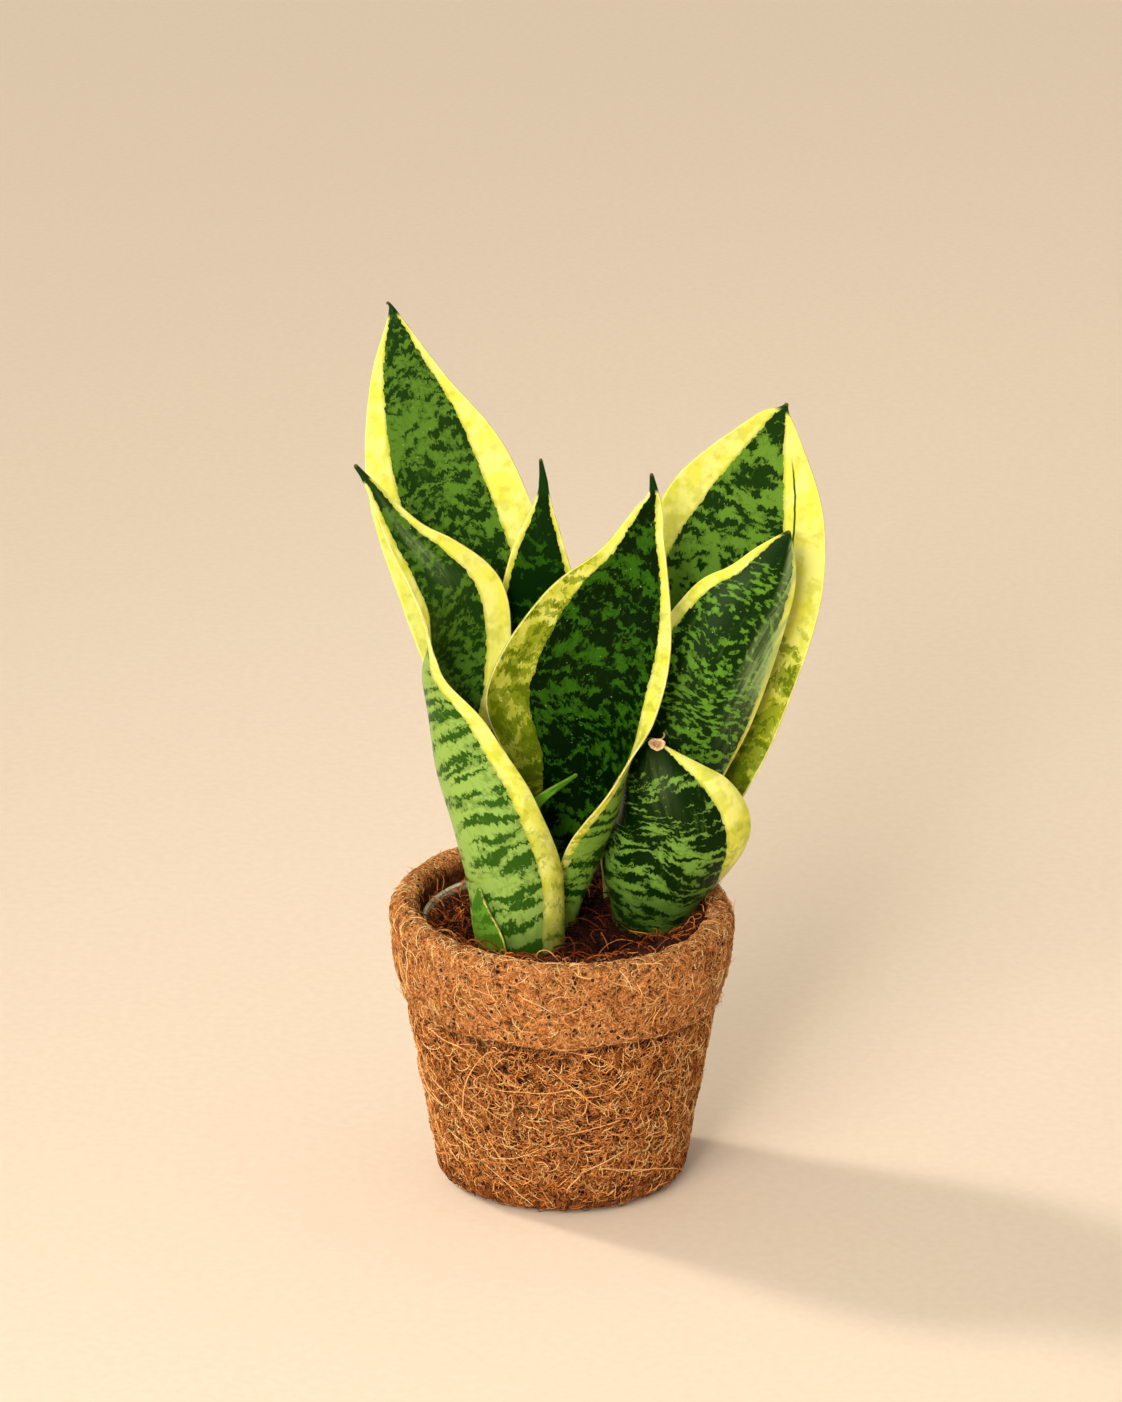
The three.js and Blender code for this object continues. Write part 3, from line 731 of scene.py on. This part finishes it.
def dried_tip():
    """The scab that the short front leaf ends in: a small dished disc with a curl on top."""
    wide, tall, thick = 2.5, 2.1, 0.7
    shares = np.array([0, 0.25, 0.5, 0.75, 0.92, 1, 1, 0.85, 0.6, 0.3, 0])
    depths = np.array([-0.15, -0.2, -0.05, 0.25, 0.5, 0.3, -0.2, -0.8, -1.1, -1.2, -1.2])
    sides = 32
    turn = circle(sides)
    outline = 1 + 0.09 * np.sin(2 * turn + 1) + 0.07 * np.sin(3 * turn) + 0.04 * np.sin(7 * turn)
    level = shares[:, None] * outline[None]
    facing = unit(np.array([0.05, -1, 0.35]))
    aside = unit(np.cross(facing, [0, 0, 1.0]))
    up = np.cross(aside, facing)
    crumple = 0.12 * np.sin(5 * turn + 2)[None] * shares[:, None]
    out = (depths[:, None] + crumple) * thick
    x, y = level * np.cos(turn)[None] * wide, level * np.sin(turn)[None] * tall
    tip = np.array(LEAVES["leaf_front_right"]["ribs"][-1][:3], float) + np.array([-0.1, -2.2, -0.5])
    points = tip + x[..., None] * aside + y[..., None] * up + out[..., None] * facing
    faces = grid_faces(len(shares), sides, closed=True)[:, ::-1].tolist()
    rim = np.repeat(shares, sides) * (np.repeat(depths, sides) > -0.5)
    material = dried_tip_material()
    add_piece("dried_leaf_tip", points.reshape(-1, 3), faces, material, {"rim": rim})
    share = np.linspace(0, 1, 12)[:, None]
    root = tip - aside * 1.2 + up * 1.4
    path = root - aside * 1.3 * np.sin(2.4 * share) + up * 2.2 * share - facing * 0.5 * share
    curl = fibre_material("dried_leaf_curl", [(150, 106, 62), (226, 190, 140)])
    facings = np.tile(facing, (1, len(share), 1))
    radii, tones = np.array([0.27]), np.array([0.5])
    fibres("dried_leaf_curl", path[None], facings, radii, 6, curl, tones)


# ---- coir pot


def rim_lift(bearing, height):
    side = (1 + np.cos(bearing - math.radians(RIM_LIFT_SIDE))) / 2
    return RIM_LIFT * side * smoothstep(RIM_LIFT_START, RIM_LIFT_END, height)


def felt_relief(bearing, height):
    broad = np.sin(5 * bearing + height / 9) * np.sin(3 * bearing - height / 14)
    fine = np.sin(11 * bearing - height / 6) * np.sin(7 * bearing + height / 5)
    return FELT_RELIEF * (broad + fine)


def pot_outline():
    """Outline of the wall, from the edge of the flat base over the crest to the inside floor."""
    angles = np.radians(np.linspace(0, 180, 19))
    crest = np.stack([
        RIM_RADIUS - ROLL_RADIUS + ROLL_RADIUS * np.cos(angles),
        RIM_CREST - ROLL_RADIUS + ROLL_RADIUS * np.sin(angles),
    ], 1)
    return np.concatenate([POT_OUTSIDE, crest, POT_INSIDE])


OUTLINE = pot_outline()
OUTLINE_LENGTHS = lengths(OUTLINE)


def outline_length(height):
    """How far along the outside of the wall a height lies."""
    outside = len(POT_OUTSIDE) + 4
    return np.interp(height, OUTLINE[:outside, 1], OUTLINE_LENGTHS[:outside])


HAIR_LOWEST = 0.35  # no hair lies lower, so that none reaches what the pot stands on
FOOT_LENGTH = outline_length(2.5)
STEP_LENGTH = outline_length(STEP_HEIGHT)
CREST_LENGTH = OUTLINE_LENGTHS[len(POT_OUTSIDE) + 9]
LIP_LENGTH = OUTLINE_LENGTHS[-2]


def outline_at(length):
    """The radius and height of the outline at a length along it."""
    return [np.interp(length, OUTLINE_LENGTHS, OUTLINE[:, i]) for i in range(2)]


def step_line(bearing):
    """Where the rim band's lower edge runs: a little higher at the front than at the sides."""
    tilted = STEP_LENGTH + 1.5 * np.sin(-bearing)
    return tilted + 0.6 * np.sin(5 * bearing) + 0.4 * np.sin(9 * bearing + 1)


def band_lip(bearing, length):
    """How far the band's lower edge swells out, with a groove under it."""
    above = length - step_line(bearing)
    return 0.75 * bell(above - 1.8, 1.7) - 0.95 * bell(above + 0.9, 1.1)


def on_wall(bearing, length, proud=0.0):
    """Points on the pot's wall, and which way the wall faces there."""
    r, z = outline_at(length)
    step = 1.2
    (r_up, z_up), (r_down, z_down) = outline_at(length + step), outline_at(length - step)
    size = np.maximum(np.hypot(r_up - r_down, z_up - z_down), 1e-6)
    out_r, out_z = (z_up - z_down) / size, (r_down - r_up) / size
    outside = smoothstep(CREST_LENGTH + 2, CREST_LENGTH, length)
    relief = felt_relief(bearing, z) * outside * smoothstep(1, 3, z)
    proud = proud + band_lip(bearing, length)
    r = r + relief + proud * out_r
    z = z + rim_lift(bearing, z) + proud * out_z
    return polar(r, bearing, z), polar(out_r, bearing, out_z)


def felt_dents(random):
    """Seeded dents in the felt: bearing, length along the wall, radius and depth."""
    regions = [
        (1000, (STEP_LENGTH + 3, LIP_LENGTH - 8), (0.5, 0.95), 0.9),
        (1100, (FOOT_LENGTH, STEP_LENGTH - 1), (0.7, 1.5), 1.4),
        (130, (STEP_LENGTH - 16, STEP_LENGTH - 1), (1.2, 2.4), 2.2),
    ]
    rows = []
    for count, span, sizes, depth in regions:
        for _ in range(count):
            draws = [random.uniform(*ends) for ends in ((0, 2 * np.pi), span, sizes)]
            rows.append((*draws, depth))
    return np.array(rows)


def felt_material():
    s = Shader("coir_felt")
    here = s.place()
    low = s.attribute("low")
    broad = s.noise(here, scale=0.09, detail=3)
    clumps = s.noise(here, scale=0.7, detail=4, roughness=0.65)
    grain = s.noise(here, scale=1.5, detail=3, roughness=0.75)
    band = s.blend(s.between(clumps, 0.36, 0.62), (128, 64, 22), (216, 138, 72))
    body = s.blend(s.between(clumps, 0.4, 0.62), (48, 19, 5), (150, 80, 32))
    colour = s.blend(low, band, body)
    colour = s.blend(s.between(broad, 0.35, 0.65, 0.0, 0.25), colour, (206, 142, 86))
    colour = s.blend(s.between(grain, 0.52, 0.66, 0.0, 0.7), colour, (255, 192, 122))
    colour = s.blend(s.between(grain, 0.36, 0.47, 0.9, 0.0), colour, (64, 27, 8))
    # Fine round pits, a different size in each cell: painted dark as shade, in pale rings that are
    # a painted highlight.
    cells = s.node("ShaderNodeTexVoronoi", {"Vector": here, "Scale": 0.5, "Randomness": 1.0})
    size = s.between(s.split(cells.outputs["Color"])[0], 0.3, 0.95, 0.0, 0.38)
    inside = s.math("SUBTRACT", size, s.sum(cells.outputs["Distance"], s.times(grain, 0.2), -0.1))
    hole = s.between(inside, -0.02, 0.06)
    colour = s.blend(s.between(inside, -0.12, -0.04, 0.0, 0.4), colour, (240, 186, 130))
    colour = s.blend(s.times(hole, 0.95), colour, (40, 16, 5))
    # Painted shade, darkest in the felt's pits, dents, crease, under the band's lip and inside the
    # rim.
    colour = s.blend(s.attribute("painted_shade"), colour, (36, 15, 5))
    relief = s.sum(s.times(clumps, 0.8), s.times(grain, 0.8), s.times(hole, -0.8))
    return s.finish(colour, roughness=0.95, sheen=0.12, relief=relief, depth=0.7)


def coir_felt():
    """The felted wall with its lumps and pits: the same outline as the solid."""
    columns = 430
    body = np.linspace(OUTLINE_LENGTHS[0], LIP_LENGTH, 200)
    inner = np.linspace(LIP_LENGTH, OUTLINE_LENGTHS[-1], 14)[1:]
    length = np.concatenate([body, inner])
    bearing = circle(columns)
    grid_length, grid_bearing = np.meshgrid(length, bearing, indexing="ij")
    points, facing = on_wall(grid_bearing, grid_length)
    lumps = 0.3 * noise(points / 5.5, 1) + 0.28 * noise(points / 2.3, 2)
    lumps = lumps + 0.2 * noise(points / 1.1, 3)
    # Dark spots painted as shade in the felt's pits, more on the body than on the band.
    painted_shade = smoothstep(0.35, 0.8, noise(points / 1.25, 5)) * 0.55
    above = grid_length - step_line(grid_bearing)
    low = smoothstep(0.5, -1.5, above)
    painted_shade = painted_shade * (0.5 + 0.7 * low)
    depth = -0.6 * painted_shade
    mean_radius = outline_at(length)[0][:, None]
    # Each dent is sunk and painted dark as shade.
    for centre, place, size, deep in felt_dents(np.random.default_rng(DENT_SEED)):
        rows = np.abs(length - place) < 3 * size
        turn = (grid_bearing[rows] - centre + np.pi) % (2 * np.pi) - np.pi
        away = np.hypot(turn * mean_radius[rows], grid_length[rows] - place) / size
        dent = np.exp(-(away**2) * 1.3)
        depth[rows] -= deep * dent
        painted_shade[rows] = np.maximum(painted_shade[rows], dent)
    # A crease down the front right, sunk and painted dark as shade.
    seam = math.radians(-80)
    turn = (grid_bearing - seam + np.pi) % (2 * np.pi) - np.pi
    wander = 1.2 * np.sin(grid_length / 5) + 0.8 * np.sin(grid_length / 2.3)
    torn = 0.4 + 0.6 * smoothstep(-0.2, 0.4, noise(points / 3, 8))
    crease = bell(turn * mean_radius + wander, 1.1) * low * torn
    depth -= 0.6 * crease
    # A painted shadow line in the groove under the band's lip.
    groove = 0.3 * bell(above + 0.9, 0.8) * smoothstep(-0.7, 0.1, noise(points / 2.2, 9))
    # The inside of the rim is painted darker as shade.
    inside = 0.85 * smoothstep(CREST_LENGTH + 3, CREST_LENGTH + 9, grid_length)
    painted_shade = np.maximum.reduce([painted_shade, 0.8 * crease, groove, inside])
    rough = smoothstep(0.4, 3.5, points[..., 2])
    rough = rough * smoothstep(OUTLINE_LENGTHS[-1], LIP_LENGTH, grid_length)
    points = points + facing * ((lumps + depth) * rough)[..., None]
    points[..., 2] = np.maximum(points[..., 2], 0)

    faces = grid_faces(len(length), columns, closed=True).tolist()
    faces.append(list(range(columns))[::-1])
    last = (len(length) - 1) * columns
    faces.append(list(range(last, last + columns)))
    piece = add_piece(
        "coir_pot_felt", points.reshape(-1, 3), faces, felt_material(),
        {"painted_shade": np.clip(painted_shade, 0, 1).ravel(), "low": low.ravel()},
    )
    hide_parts("coir_pot")


def fibre_material(name, shades):
    """Hairs whose tone runs from the first shade to the last."""
    s = Shader(name)
    tone = s.attribute("tone")
    ramp = s.node("ShaderNodeValToRGB", {"Fac": tone})
    ends = ramp.outputs[0]
    stops = ramp.color_ramp.elements
    while len(stops) < len(shades):
        stops.new(0.5)
    for i, shade in enumerate(shades):
        stops[i].position = i / (len(shades) - 1)
        stops[i].color = srgb(*shade)
    speckle = s.noise(s.place(), scale=1.4, detail=2)
    colour = s.blend(s.between(speckle, 0.35, 0.65, 0.0, 0.35), ends, shades[0])
    return s.finish(colour, roughness=0.8, sheen=0.12)


def wandering(random, count, steps, step_length, curl):
    """Headings of hairs that turn as they go: sums of small random turns, (fibre, point)."""
    turns = random.normal(0, curl, (count, steps)) + random.normal(0, curl * 0.7, (count, 1))
    heading = np.cumsum(turns, axis=1)
    return heading * step_length[:, None] ** 0.5


def wall_fibres(random, name, count, steps, span, reach, radii, proud, curl, slope, skin, sides):
    """Hairs that lie on the pot's wall, over a span of its outline."""
    reach = random.uniform(*reach, count)
    step = reach / (steps - 1)
    start_bearing = random.uniform(0, 2 * np.pi, count)
    start_length = random.uniform(*span, count)
    first = random.normal(0, slope, count) + np.pi * random.integers(0, 2, count)
    heading = first[:, None] + wandering(random, count, steps, step, curl)
    along = np.cumsum(np.sin(heading) * step[:, None], axis=1)
    centred = start_length[:, None] + along - along.mean(axis=1, keepdims=True)
    length = np.clip(centred, FOOT_LENGTH - 1.5, LIP_LENGTH)
    radius = outline_at(length)[0]
    bearing = start_bearing[:, None] + np.cumsum(np.cos(heading) * step[:, None] / radius, axis=1)
    share = np.linspace(0, 1, steps)
    arch = hump(share)[None]
    lift = random.uniform(*proud, count)[:, None] * arch - 0.35 * (1 - arch)
    pace = random.uniform(5, 16, count)[:, None]
    phase = random.uniform(0, 6, count)[:, None]
    lift = lift + 0.12 * np.sin(share[None] * pace + phase)
    paths, facing = on_wall(bearing, length, lift)
    paths[..., 2] = np.maximum(paths[..., 2], HAIR_LOWEST)
    radii = random.uniform(*radii, count)
    # Hairs low on the body and inside the rim get darker tones: painted shade.
    low = smoothstep(FOOT_LENGTH + 16, FOOT_LENGTH, start_length)
    inside_rim_shade = smoothstep(CREST_LENGTH + 2, CREST_LENGTH + 8, start_length)
    tones = np.clip(random.normal(0.52, 0.27, count) - 0.25 * low - 0.85 * inside_rim_shade, 0, 1)
    fibres("coir_" + name, paths, facing, radii, sides, skin, tones)


def coir_fibres():
    felt_shades = [(92, 40, 11), (206, 126, 60), (248, 186, 110), (255, 224, 160)]
    coir_shades = [(66, 26, 6), (186, 104, 43), (244, 162, 84), (255, 214, 140)]
    felt = fibre_material("coir_felt_fibre", felt_shades)
    coir = fibre_material("coir_fibre", coir_shades)
    pale = fibre_material("coir_fibre_pale", [(226, 148, 78), (255, 198, 122), (255, 224, 160)])
    random = np.random.default_rng(FIBRE_SEED)
    band = (STEP_LENGTH + 1, LIP_LENGTH - 2)
    body = (FOOT_LENGTH, STEP_LENGTH - 1)
    # name, how many, points, span, length, radius, how proud, how curly, how steep, material, sides
    sets = [
        ("band_curls", 3600, 7, band, (2.2, 5.5), (0.12, 0.19), (-0.05, 0.35), 0.75, 1.5, felt, 3),
        ("band_fibres", 3600, 7, band, (3, 7.5), (0.11, 0.18), (0.0, 0.45), 0.5, 1.5, felt, 3),
        ("body_curls", 5200, 7, body, (2.5, 6), (0.13, 0.21), (0.0, 0.6), 0.8, 1.5, coir, 3),
        ("body_fibres", 5200, 7, body, (3, 8), (0.13, 0.2), (0.3, 1.0), 0.6, 1.5, coir, 3),
        ("top_fibres", 3600, 8, body, (3.5, 8.5), (0.12, 0.18), (0.6, 1.1), 0.42, 1.2, coir, 3),
        ("bright_fibres", 460, 10, body, (4, 11), (0.12, 0.17), (0.8, 1.2), 0.2, 1.0, pale, 4),
        ("long_fibres", 60, 30, body, (16, 38), (0.12, 0.18), (0.9, 1.3), 0.04, 0.35, pale, 5),
        ("band_long_fibres", 240, 12, band, (5, 14), (0.12, 0.18), (0.3, 0.7), 0.2, 1.0, pale, 4),
    ]
    for row in sets:
        wall_fibres(random, *row)


def stray_hairs():
    """Short hair ends that stand out of the wall."""
    random = np.random.default_rng(STRAY_SEED)
    count, steps = 420, 7
    bearing = random.uniform(0, 2 * np.pi, count)
    length = random.uniform(FOOT_LENGTH, LIP_LENGTH - 10, count)
    root, facing = on_wall(bearing, length, -0.3)
    level = np.stack([-np.sin(bearing), np.cos(bearing), 0 * bearing], -1)
    up = np.cross(facing, level)
    lean = random.uniform(0, 2 * np.pi, count)
    aside = level * np.cos(lean)[:, None] + up * np.sin(lean)[:, None]
    reach = random.uniform(1.5, 5.5, count)[:, None, None]
    proud = random.uniform(0.6, 2.1, count)[:, None, None]
    share = np.linspace(0, 1, steps)[None, :, None]
    rise = facing[:, None] * proud * share * (1.5 - 0.5 * share)
    paths = root[:, None] + aside[:, None] * reach * share + rise
    paths[..., 2] = np.maximum(paths[..., 2], HAIR_LOWEST)
    across = np.repeat(np.cross(aside, facing)[:, None], steps, axis=1)
    material = fibre_material("coir_hair", [(176, 116, 64), (226, 176, 120)])
    radii, tones = random.uniform(0.07, 0.12, count), random.uniform(0, 1, count)
    fibres("coir_stray_hairs", paths, across, radii, 3, material, tones)


# ---- liner


def liner_material(name):
    s = Shader(name)
    here = s.place()
    stain = s.noise(here, scale=0.35, detail=4, roughness=0.65)
    scuff = s.noise(here, scale=2.4, detail=2)
    x, y, z = s.split(here)
    hidden = s.between(s.sum(x, s.times(y, -0.35), s.times(stain, 12)), -34, -22)
    clean = s.blend(s.between(stain, 0.42, 0.68), (226, 214, 182), (150, 118, 84))
    colour = s.blend(hidden, clean, (84, 52, 32))
    # Darker just below the top of the grow pot.
    darker_below_top = s.between(z, LINER_TOP - 2.2, LINER_TOP - 0.7, 0.9, 0.0)
    colour = s.blend(darker_below_top, colour, (48, 24, 12))
    roughness = s.between(scuff, 0.3, 0.7, 0.42, 0.62)
    return s.finish(colour, roughness, relief=scuff, depth=0.05)


def liner_lip():
    """The rounded bead round the top of the grow pot."""
    columns, sides = 180, 12
    turn = circle(columns)
    around = circle(sides)
    ring = LINER_TOP_RADIUS - LINER_WALL / 2
    r = ring + 0.75 * np.cos(around)[None] + 0.06 * np.sin(7 * turn)[:, None]
    z = LINER_TOP + 0.1 + 0.7 * np.sin(around)[None] + 0.12 * np.sin(3 * turn + 1)[:, None]
    points = polar(r, turn[:, None], z).reshape(-1, 3)
    rows = grid_faces(columns, sides, closed=True).tolist()
    last = (columns - 1) * sides
    for j in range(sides):
        after = (j + 1) % sides
        rows.append([last + j, last + after, after, j])
    add_piece("nursery_liner_lip", points, rows, liner_material("liner_lip_plastic"))


# ---- potting mix


def mix_level(x, y):
    clods = np.sin(x / 5.1 + 1) * np.cos(y / 4.3) + 0.6 * np.sin(x / 2.9 - y / 3.7)
    return MIX_LEVEL + MIX_RELIEF * clods


def mix_top(x, y):
    """The mix's level, banked up over the grow pot's rim except at the left, where it shows."""
    radius, bearing = np.hypot(x, y), np.degrees(np.arctan2(y, x)) % 360
    shown = smoothstep(130, 145, bearing) * smoothstep(215, 200, bearing)
    bank = smoothstep(37, 43.2, radius)
    return mix_level(x, y) * (1 - bank) + bank * (LINER_TOP + 0.9 - 3 * shown)


def husk_material(name, dark, light, depth):
    s = Shader(name)
    here = s.place()
    tone = s.noise(here, scale=0.8, detail=4, roughness=0.7)
    grain = s.noise(here, scale=3.5, detail=2)
    x, y, _ = s.split(here)
    aside = {0: s.join(x, y, 0.0)}
    centre = s.node("ShaderNodeVectorMath", aside, operation="LENGTH").outputs["Value"]
    colour = s.blend(s.between(tone, 0.36, 0.66), dark, light)
    colour = s.blend(s.between(grain, 0.55, 0.75, 0.0, 0.4), colour, (122, 56, 22))
    # The middle of the mix, under the leaves, is painted dark as shade.
    colour = s.blend(s.between(centre, 28, 41, 0.85, 0.0), colour, (12, 4, 2))
    return s.finish(colour, roughness=0.95, sheen=0.2, relief=grain, depth=depth)


def on_mix(random, count):
    """Seeded places over the mix, even over its whole top."""
    radius = MIX_RADIUS * np.sqrt(random.uniform(0, 1, count))
    turn = random.uniform(0, 2 * np.pi, count)
    return radius * np.cos(turn), radius * np.sin(turn)


def husk_chips():
    """Crumbs of husk, half sunk in the mix and banked up over the grow pot's rim."""
    random = np.random.default_rng(CRUMB_SEED)
    count, banked = 3200, 1500
    x, y = on_mix(random, count)
    turn = np.radians(random.uniform(-155, 130, banked))
    out = random.uniform(39, RIM_INSIDE, banked)
    x = np.concatenate([x, out * np.cos(turn)])
    y = np.concatenate([y, out * np.sin(turn)])
    total = count + banked
    corners = np.array(list(itertools.product((-1, 1), repeat=3)), float)
    block = [(0, 1, 3, 2), (4, 6, 7, 5), (0, 4, 5, 1), (2, 3, 7, 6), (0, 2, 6, 4), (1, 5, 7, 3)]
    shape = corners[None] * (1 + random.uniform(-0.35, 0.35, (total, 8, 3)))
    size = random.gamma(3, 0.28, total)[:, None, None]
    sides = [random.uniform(*ends, total) for ends in ((0.6, 1.9), (0.4, 0.9), (0.3, 0.7))]
    shape = shape * (size * np.stack(sides, 1)[:, None])
    spin, tip = random.uniform(0, 2 * np.pi, (2, total, 1))
    tip = 0.5 * np.sin(tip)
    a, b, c = shape[..., 0], shape[..., 1], shape[..., 2]
    b, c = b * np.cos(tip) - c * np.sin(tip), b * np.sin(tip) + c * np.cos(tip)
    a, b = a * np.cos(spin) - b * np.sin(spin), a * np.sin(spin) + b * np.cos(spin)
    centre = np.stack([x, y, mix_top(x, y) + random.uniform(-0.2, 0.9, total)], 1)
    points = (np.stack([a, b, c], -1) + centre[:, None]).reshape(-1, 3)
    faces = (np.array(block)[None] + 8 * np.arange(total)[:, None, None]).reshape(-1, 4)
    material = husk_material("husk_crumbs", (24, 8, 3), (80, 32, 12), 0.3)
    add_piece("husk_crumbs", points, faces, material)


def mix_fibres():
    """Curly husk hairs that lie over the mix, a few of them up over the rim."""
    random = np.random.default_rng(HUSK_SEED)
    shades = [(44, 14, 4), (142, 62, 20), (216, 124, 52), (255, 192, 114)]
    material = fibre_material("husk_fibre", shades)
    # name, how many, points, length, radius, how curly, how high they arch
    sets = [
        ("husk_fibres", 2200, 10, (3, 12), (0.12, 0.22), 0.4, 1.4),
        ("husk_strands", 420, 14, (8, 26), (0.16, 0.28), 0.16, 2.2),
    ]
    for name, count, steps, reach, radii, curl, high in sets:
        x, y = on_mix(random, count)
        step = random.uniform(*reach, count) / (steps - 1)
        first = random.uniform(0, 2 * np.pi, count)[:, None]
        heading = first + wandering(random, count, steps, step, curl)
        px = x[:, None] + np.cumsum(np.cos(heading) * step[:, None], axis=1)
        py = y[:, None] + np.cumsum(np.sin(heading) * step[:, None], axis=1)
        shrink = np.minimum(1, RIM_INSIDE / np.maximum(np.hypot(px, py), 1))
        px, py = px * shrink, py * shrink
        share = np.linspace(0, 1, steps)[None]
        arch = np.sin(np.pi * share) * random.gamma(1.6, high / 1.6, count)[:, None].clip(0.2, 5.5)
        tilt = (share - 0.5) * random.normal(0, high / 2, (count, 1)).clip(-3, 3)
        paths = np.stack([px, py, mix_top(px, py) + 0.5 + arch + np.maximum(tilt, -0.4)], -1)
        up = np.broadcast_to([0.05, 0.02, 1.0], paths.shape)
        # Hairs in the middle of the mix, under the leaves, get darker tones: painted shade.
        out_of_painted_shade = smoothstep(24, 42, np.hypot(x, y))
        tones = np.clip(random.normal(-0.14, 0.24, count) + 0.66 * out_of_painted_shade, 0, 1)
        fibres(name, paths, up, random.uniform(*radii, count), 4, material, tones)


# ---- solids that stay as they are


def dress_kept_nodes():
    """Node-based materials for the solids that no finer piece replaces."""
    liner = liner_material("liner_plastic")
    husk = husk_material("husk_mix", (24, 9, 4), (64, 27, 12), 0.6)
    s = Shader("rhizome_skin")
    tone = s.noise(s.place(), scale=0.4, detail=4)
    rings = s.blend(s.between(tone, 0.4, 0.6), (206, 164, 104), (150, 96, 48))
    root = s.finish(rings, roughness=0.8, relief=tone, depth=0.4)
    for node, material in {"nursery_liner": liner, "potting_mix": husk, "rhizome": root}.items():
        mesh = frame["nodes"][node].data
        mesh.materials.clear()
        mesh.materials.append(material)


# ---- camera, light and floor

CAMERA_LENS = 165
CAMERA_PITCH = 19.5  # degrees below level
CAMERA_PLACE = (-0.00032, -1.93026, 0.84530)  # metres
CAMERA_SENSOR = 36
FLOOR_RADIUS = 14  # metres


def camera():
    data = bpy.data.cameras.new("camera")
    data.lens = CAMERA_LENS
    data.sensor_width = CAMERA_SENSOR
    data.clip_start = 0.1
    data.clip_end = 60
    made = into_scene("camera", data)
    made.location = CAMERA_PLACE
    made.rotation_euler = (math.radians(90 - CAMERA_PITCH), 0, 0)
    bpy.context.scene.camera = made


def shining_from(x, y, z):
    """The rotation of a light that shines from that direction."""
    return (math.atan2(math.hypot(x, y), z), 0, math.atan2(x, -y))


def sun(name, toward, strength, spread, colour):
    """Distant light from the direction toward, spread in degrees."""
    data = bpy.data.lights.new(name, "SUN")
    data.energy = strength
    data.angle = math.radians(spread)
    data.color = colour
    into_scene(name, data).rotation_euler = shining_from(*toward)


def softbox(name, place, aim, size, power, colour, spread=180):
    """A square soft light. spread is how wide its grid lets it fan out, in degrees."""
    data = bpy.data.lights.new(name, "AREA")
    data.shape = "SQUARE"
    data.size = size
    data.spread = math.radians(spread)
    data.energy = power
    data.color = colour
    made = into_scene(name, data)
    made.location = place
    made.rotation_euler = shining_from(*(a - b for a, b in zip(place, aim)))


def world():
    made = bpy.data.worlds.new("studio")
    made.use_nodes = True
    background = made.node_tree.nodes["Background"]
    background.inputs["Color"].default_value = (1.0, 0.965, 0.91, 1)
    background.inputs["Strength"].default_value = 0.5
    bpy.context.scene.world = made


def floor():
    s = Shader("pale_floor")
    here = s.place()
    grain = s.noise(here, scale=0.3, detail=3)
    colour = s.blend(s.between(grain, 0.3, 0.7), (236, 215, 189), (239, 219, 194))
    material = s.finish(colour, roughness=0.9, sheen=0.2, relief=grain, depth=0.05)
    sides = 64
    turn = circle(sides)
    points = polar(FLOOR_RADIUS, turn, 0 * turn)
    mesh = bpy.data.meshes.new("floor")
    mesh.from_pydata(points, [], [list(range(sides))])
    mesh.materials.append(material)
    made = into_scene("floor", mesh)


camera()
world()
floor()
sun("key", toward=(-0.75, 0.43, 0.52), strength=1.7, spread=9, colour=(1.0, 0.95, 0.86))
softbox(
    "fill", place=(-0.7, -1.5, 1.25), aim=(0, 0, 0.15), size=1.0, power=21.5,
    colour=(1.0, 0.97, 0.92),
)
softbox(
    "low", place=(-0.4, -1.5, 0.6), aim=(0, 0, 0), size=0.6, power=0.44, spread=18,
    colour=(1.0, 0.93, 0.84),
)
bpy.context.scene.view_settings.view_transform = "Standard"

for leaf_name, leaf_shape in LEAVES.items():
    leaf_piece(leaf_name, leaf_shape)
dried_tip()
coir_felt()
coir_fibres()
stray_hairs()
liner_lip()
husk_chips()
mix_fibres()
dress_kept_nodes()
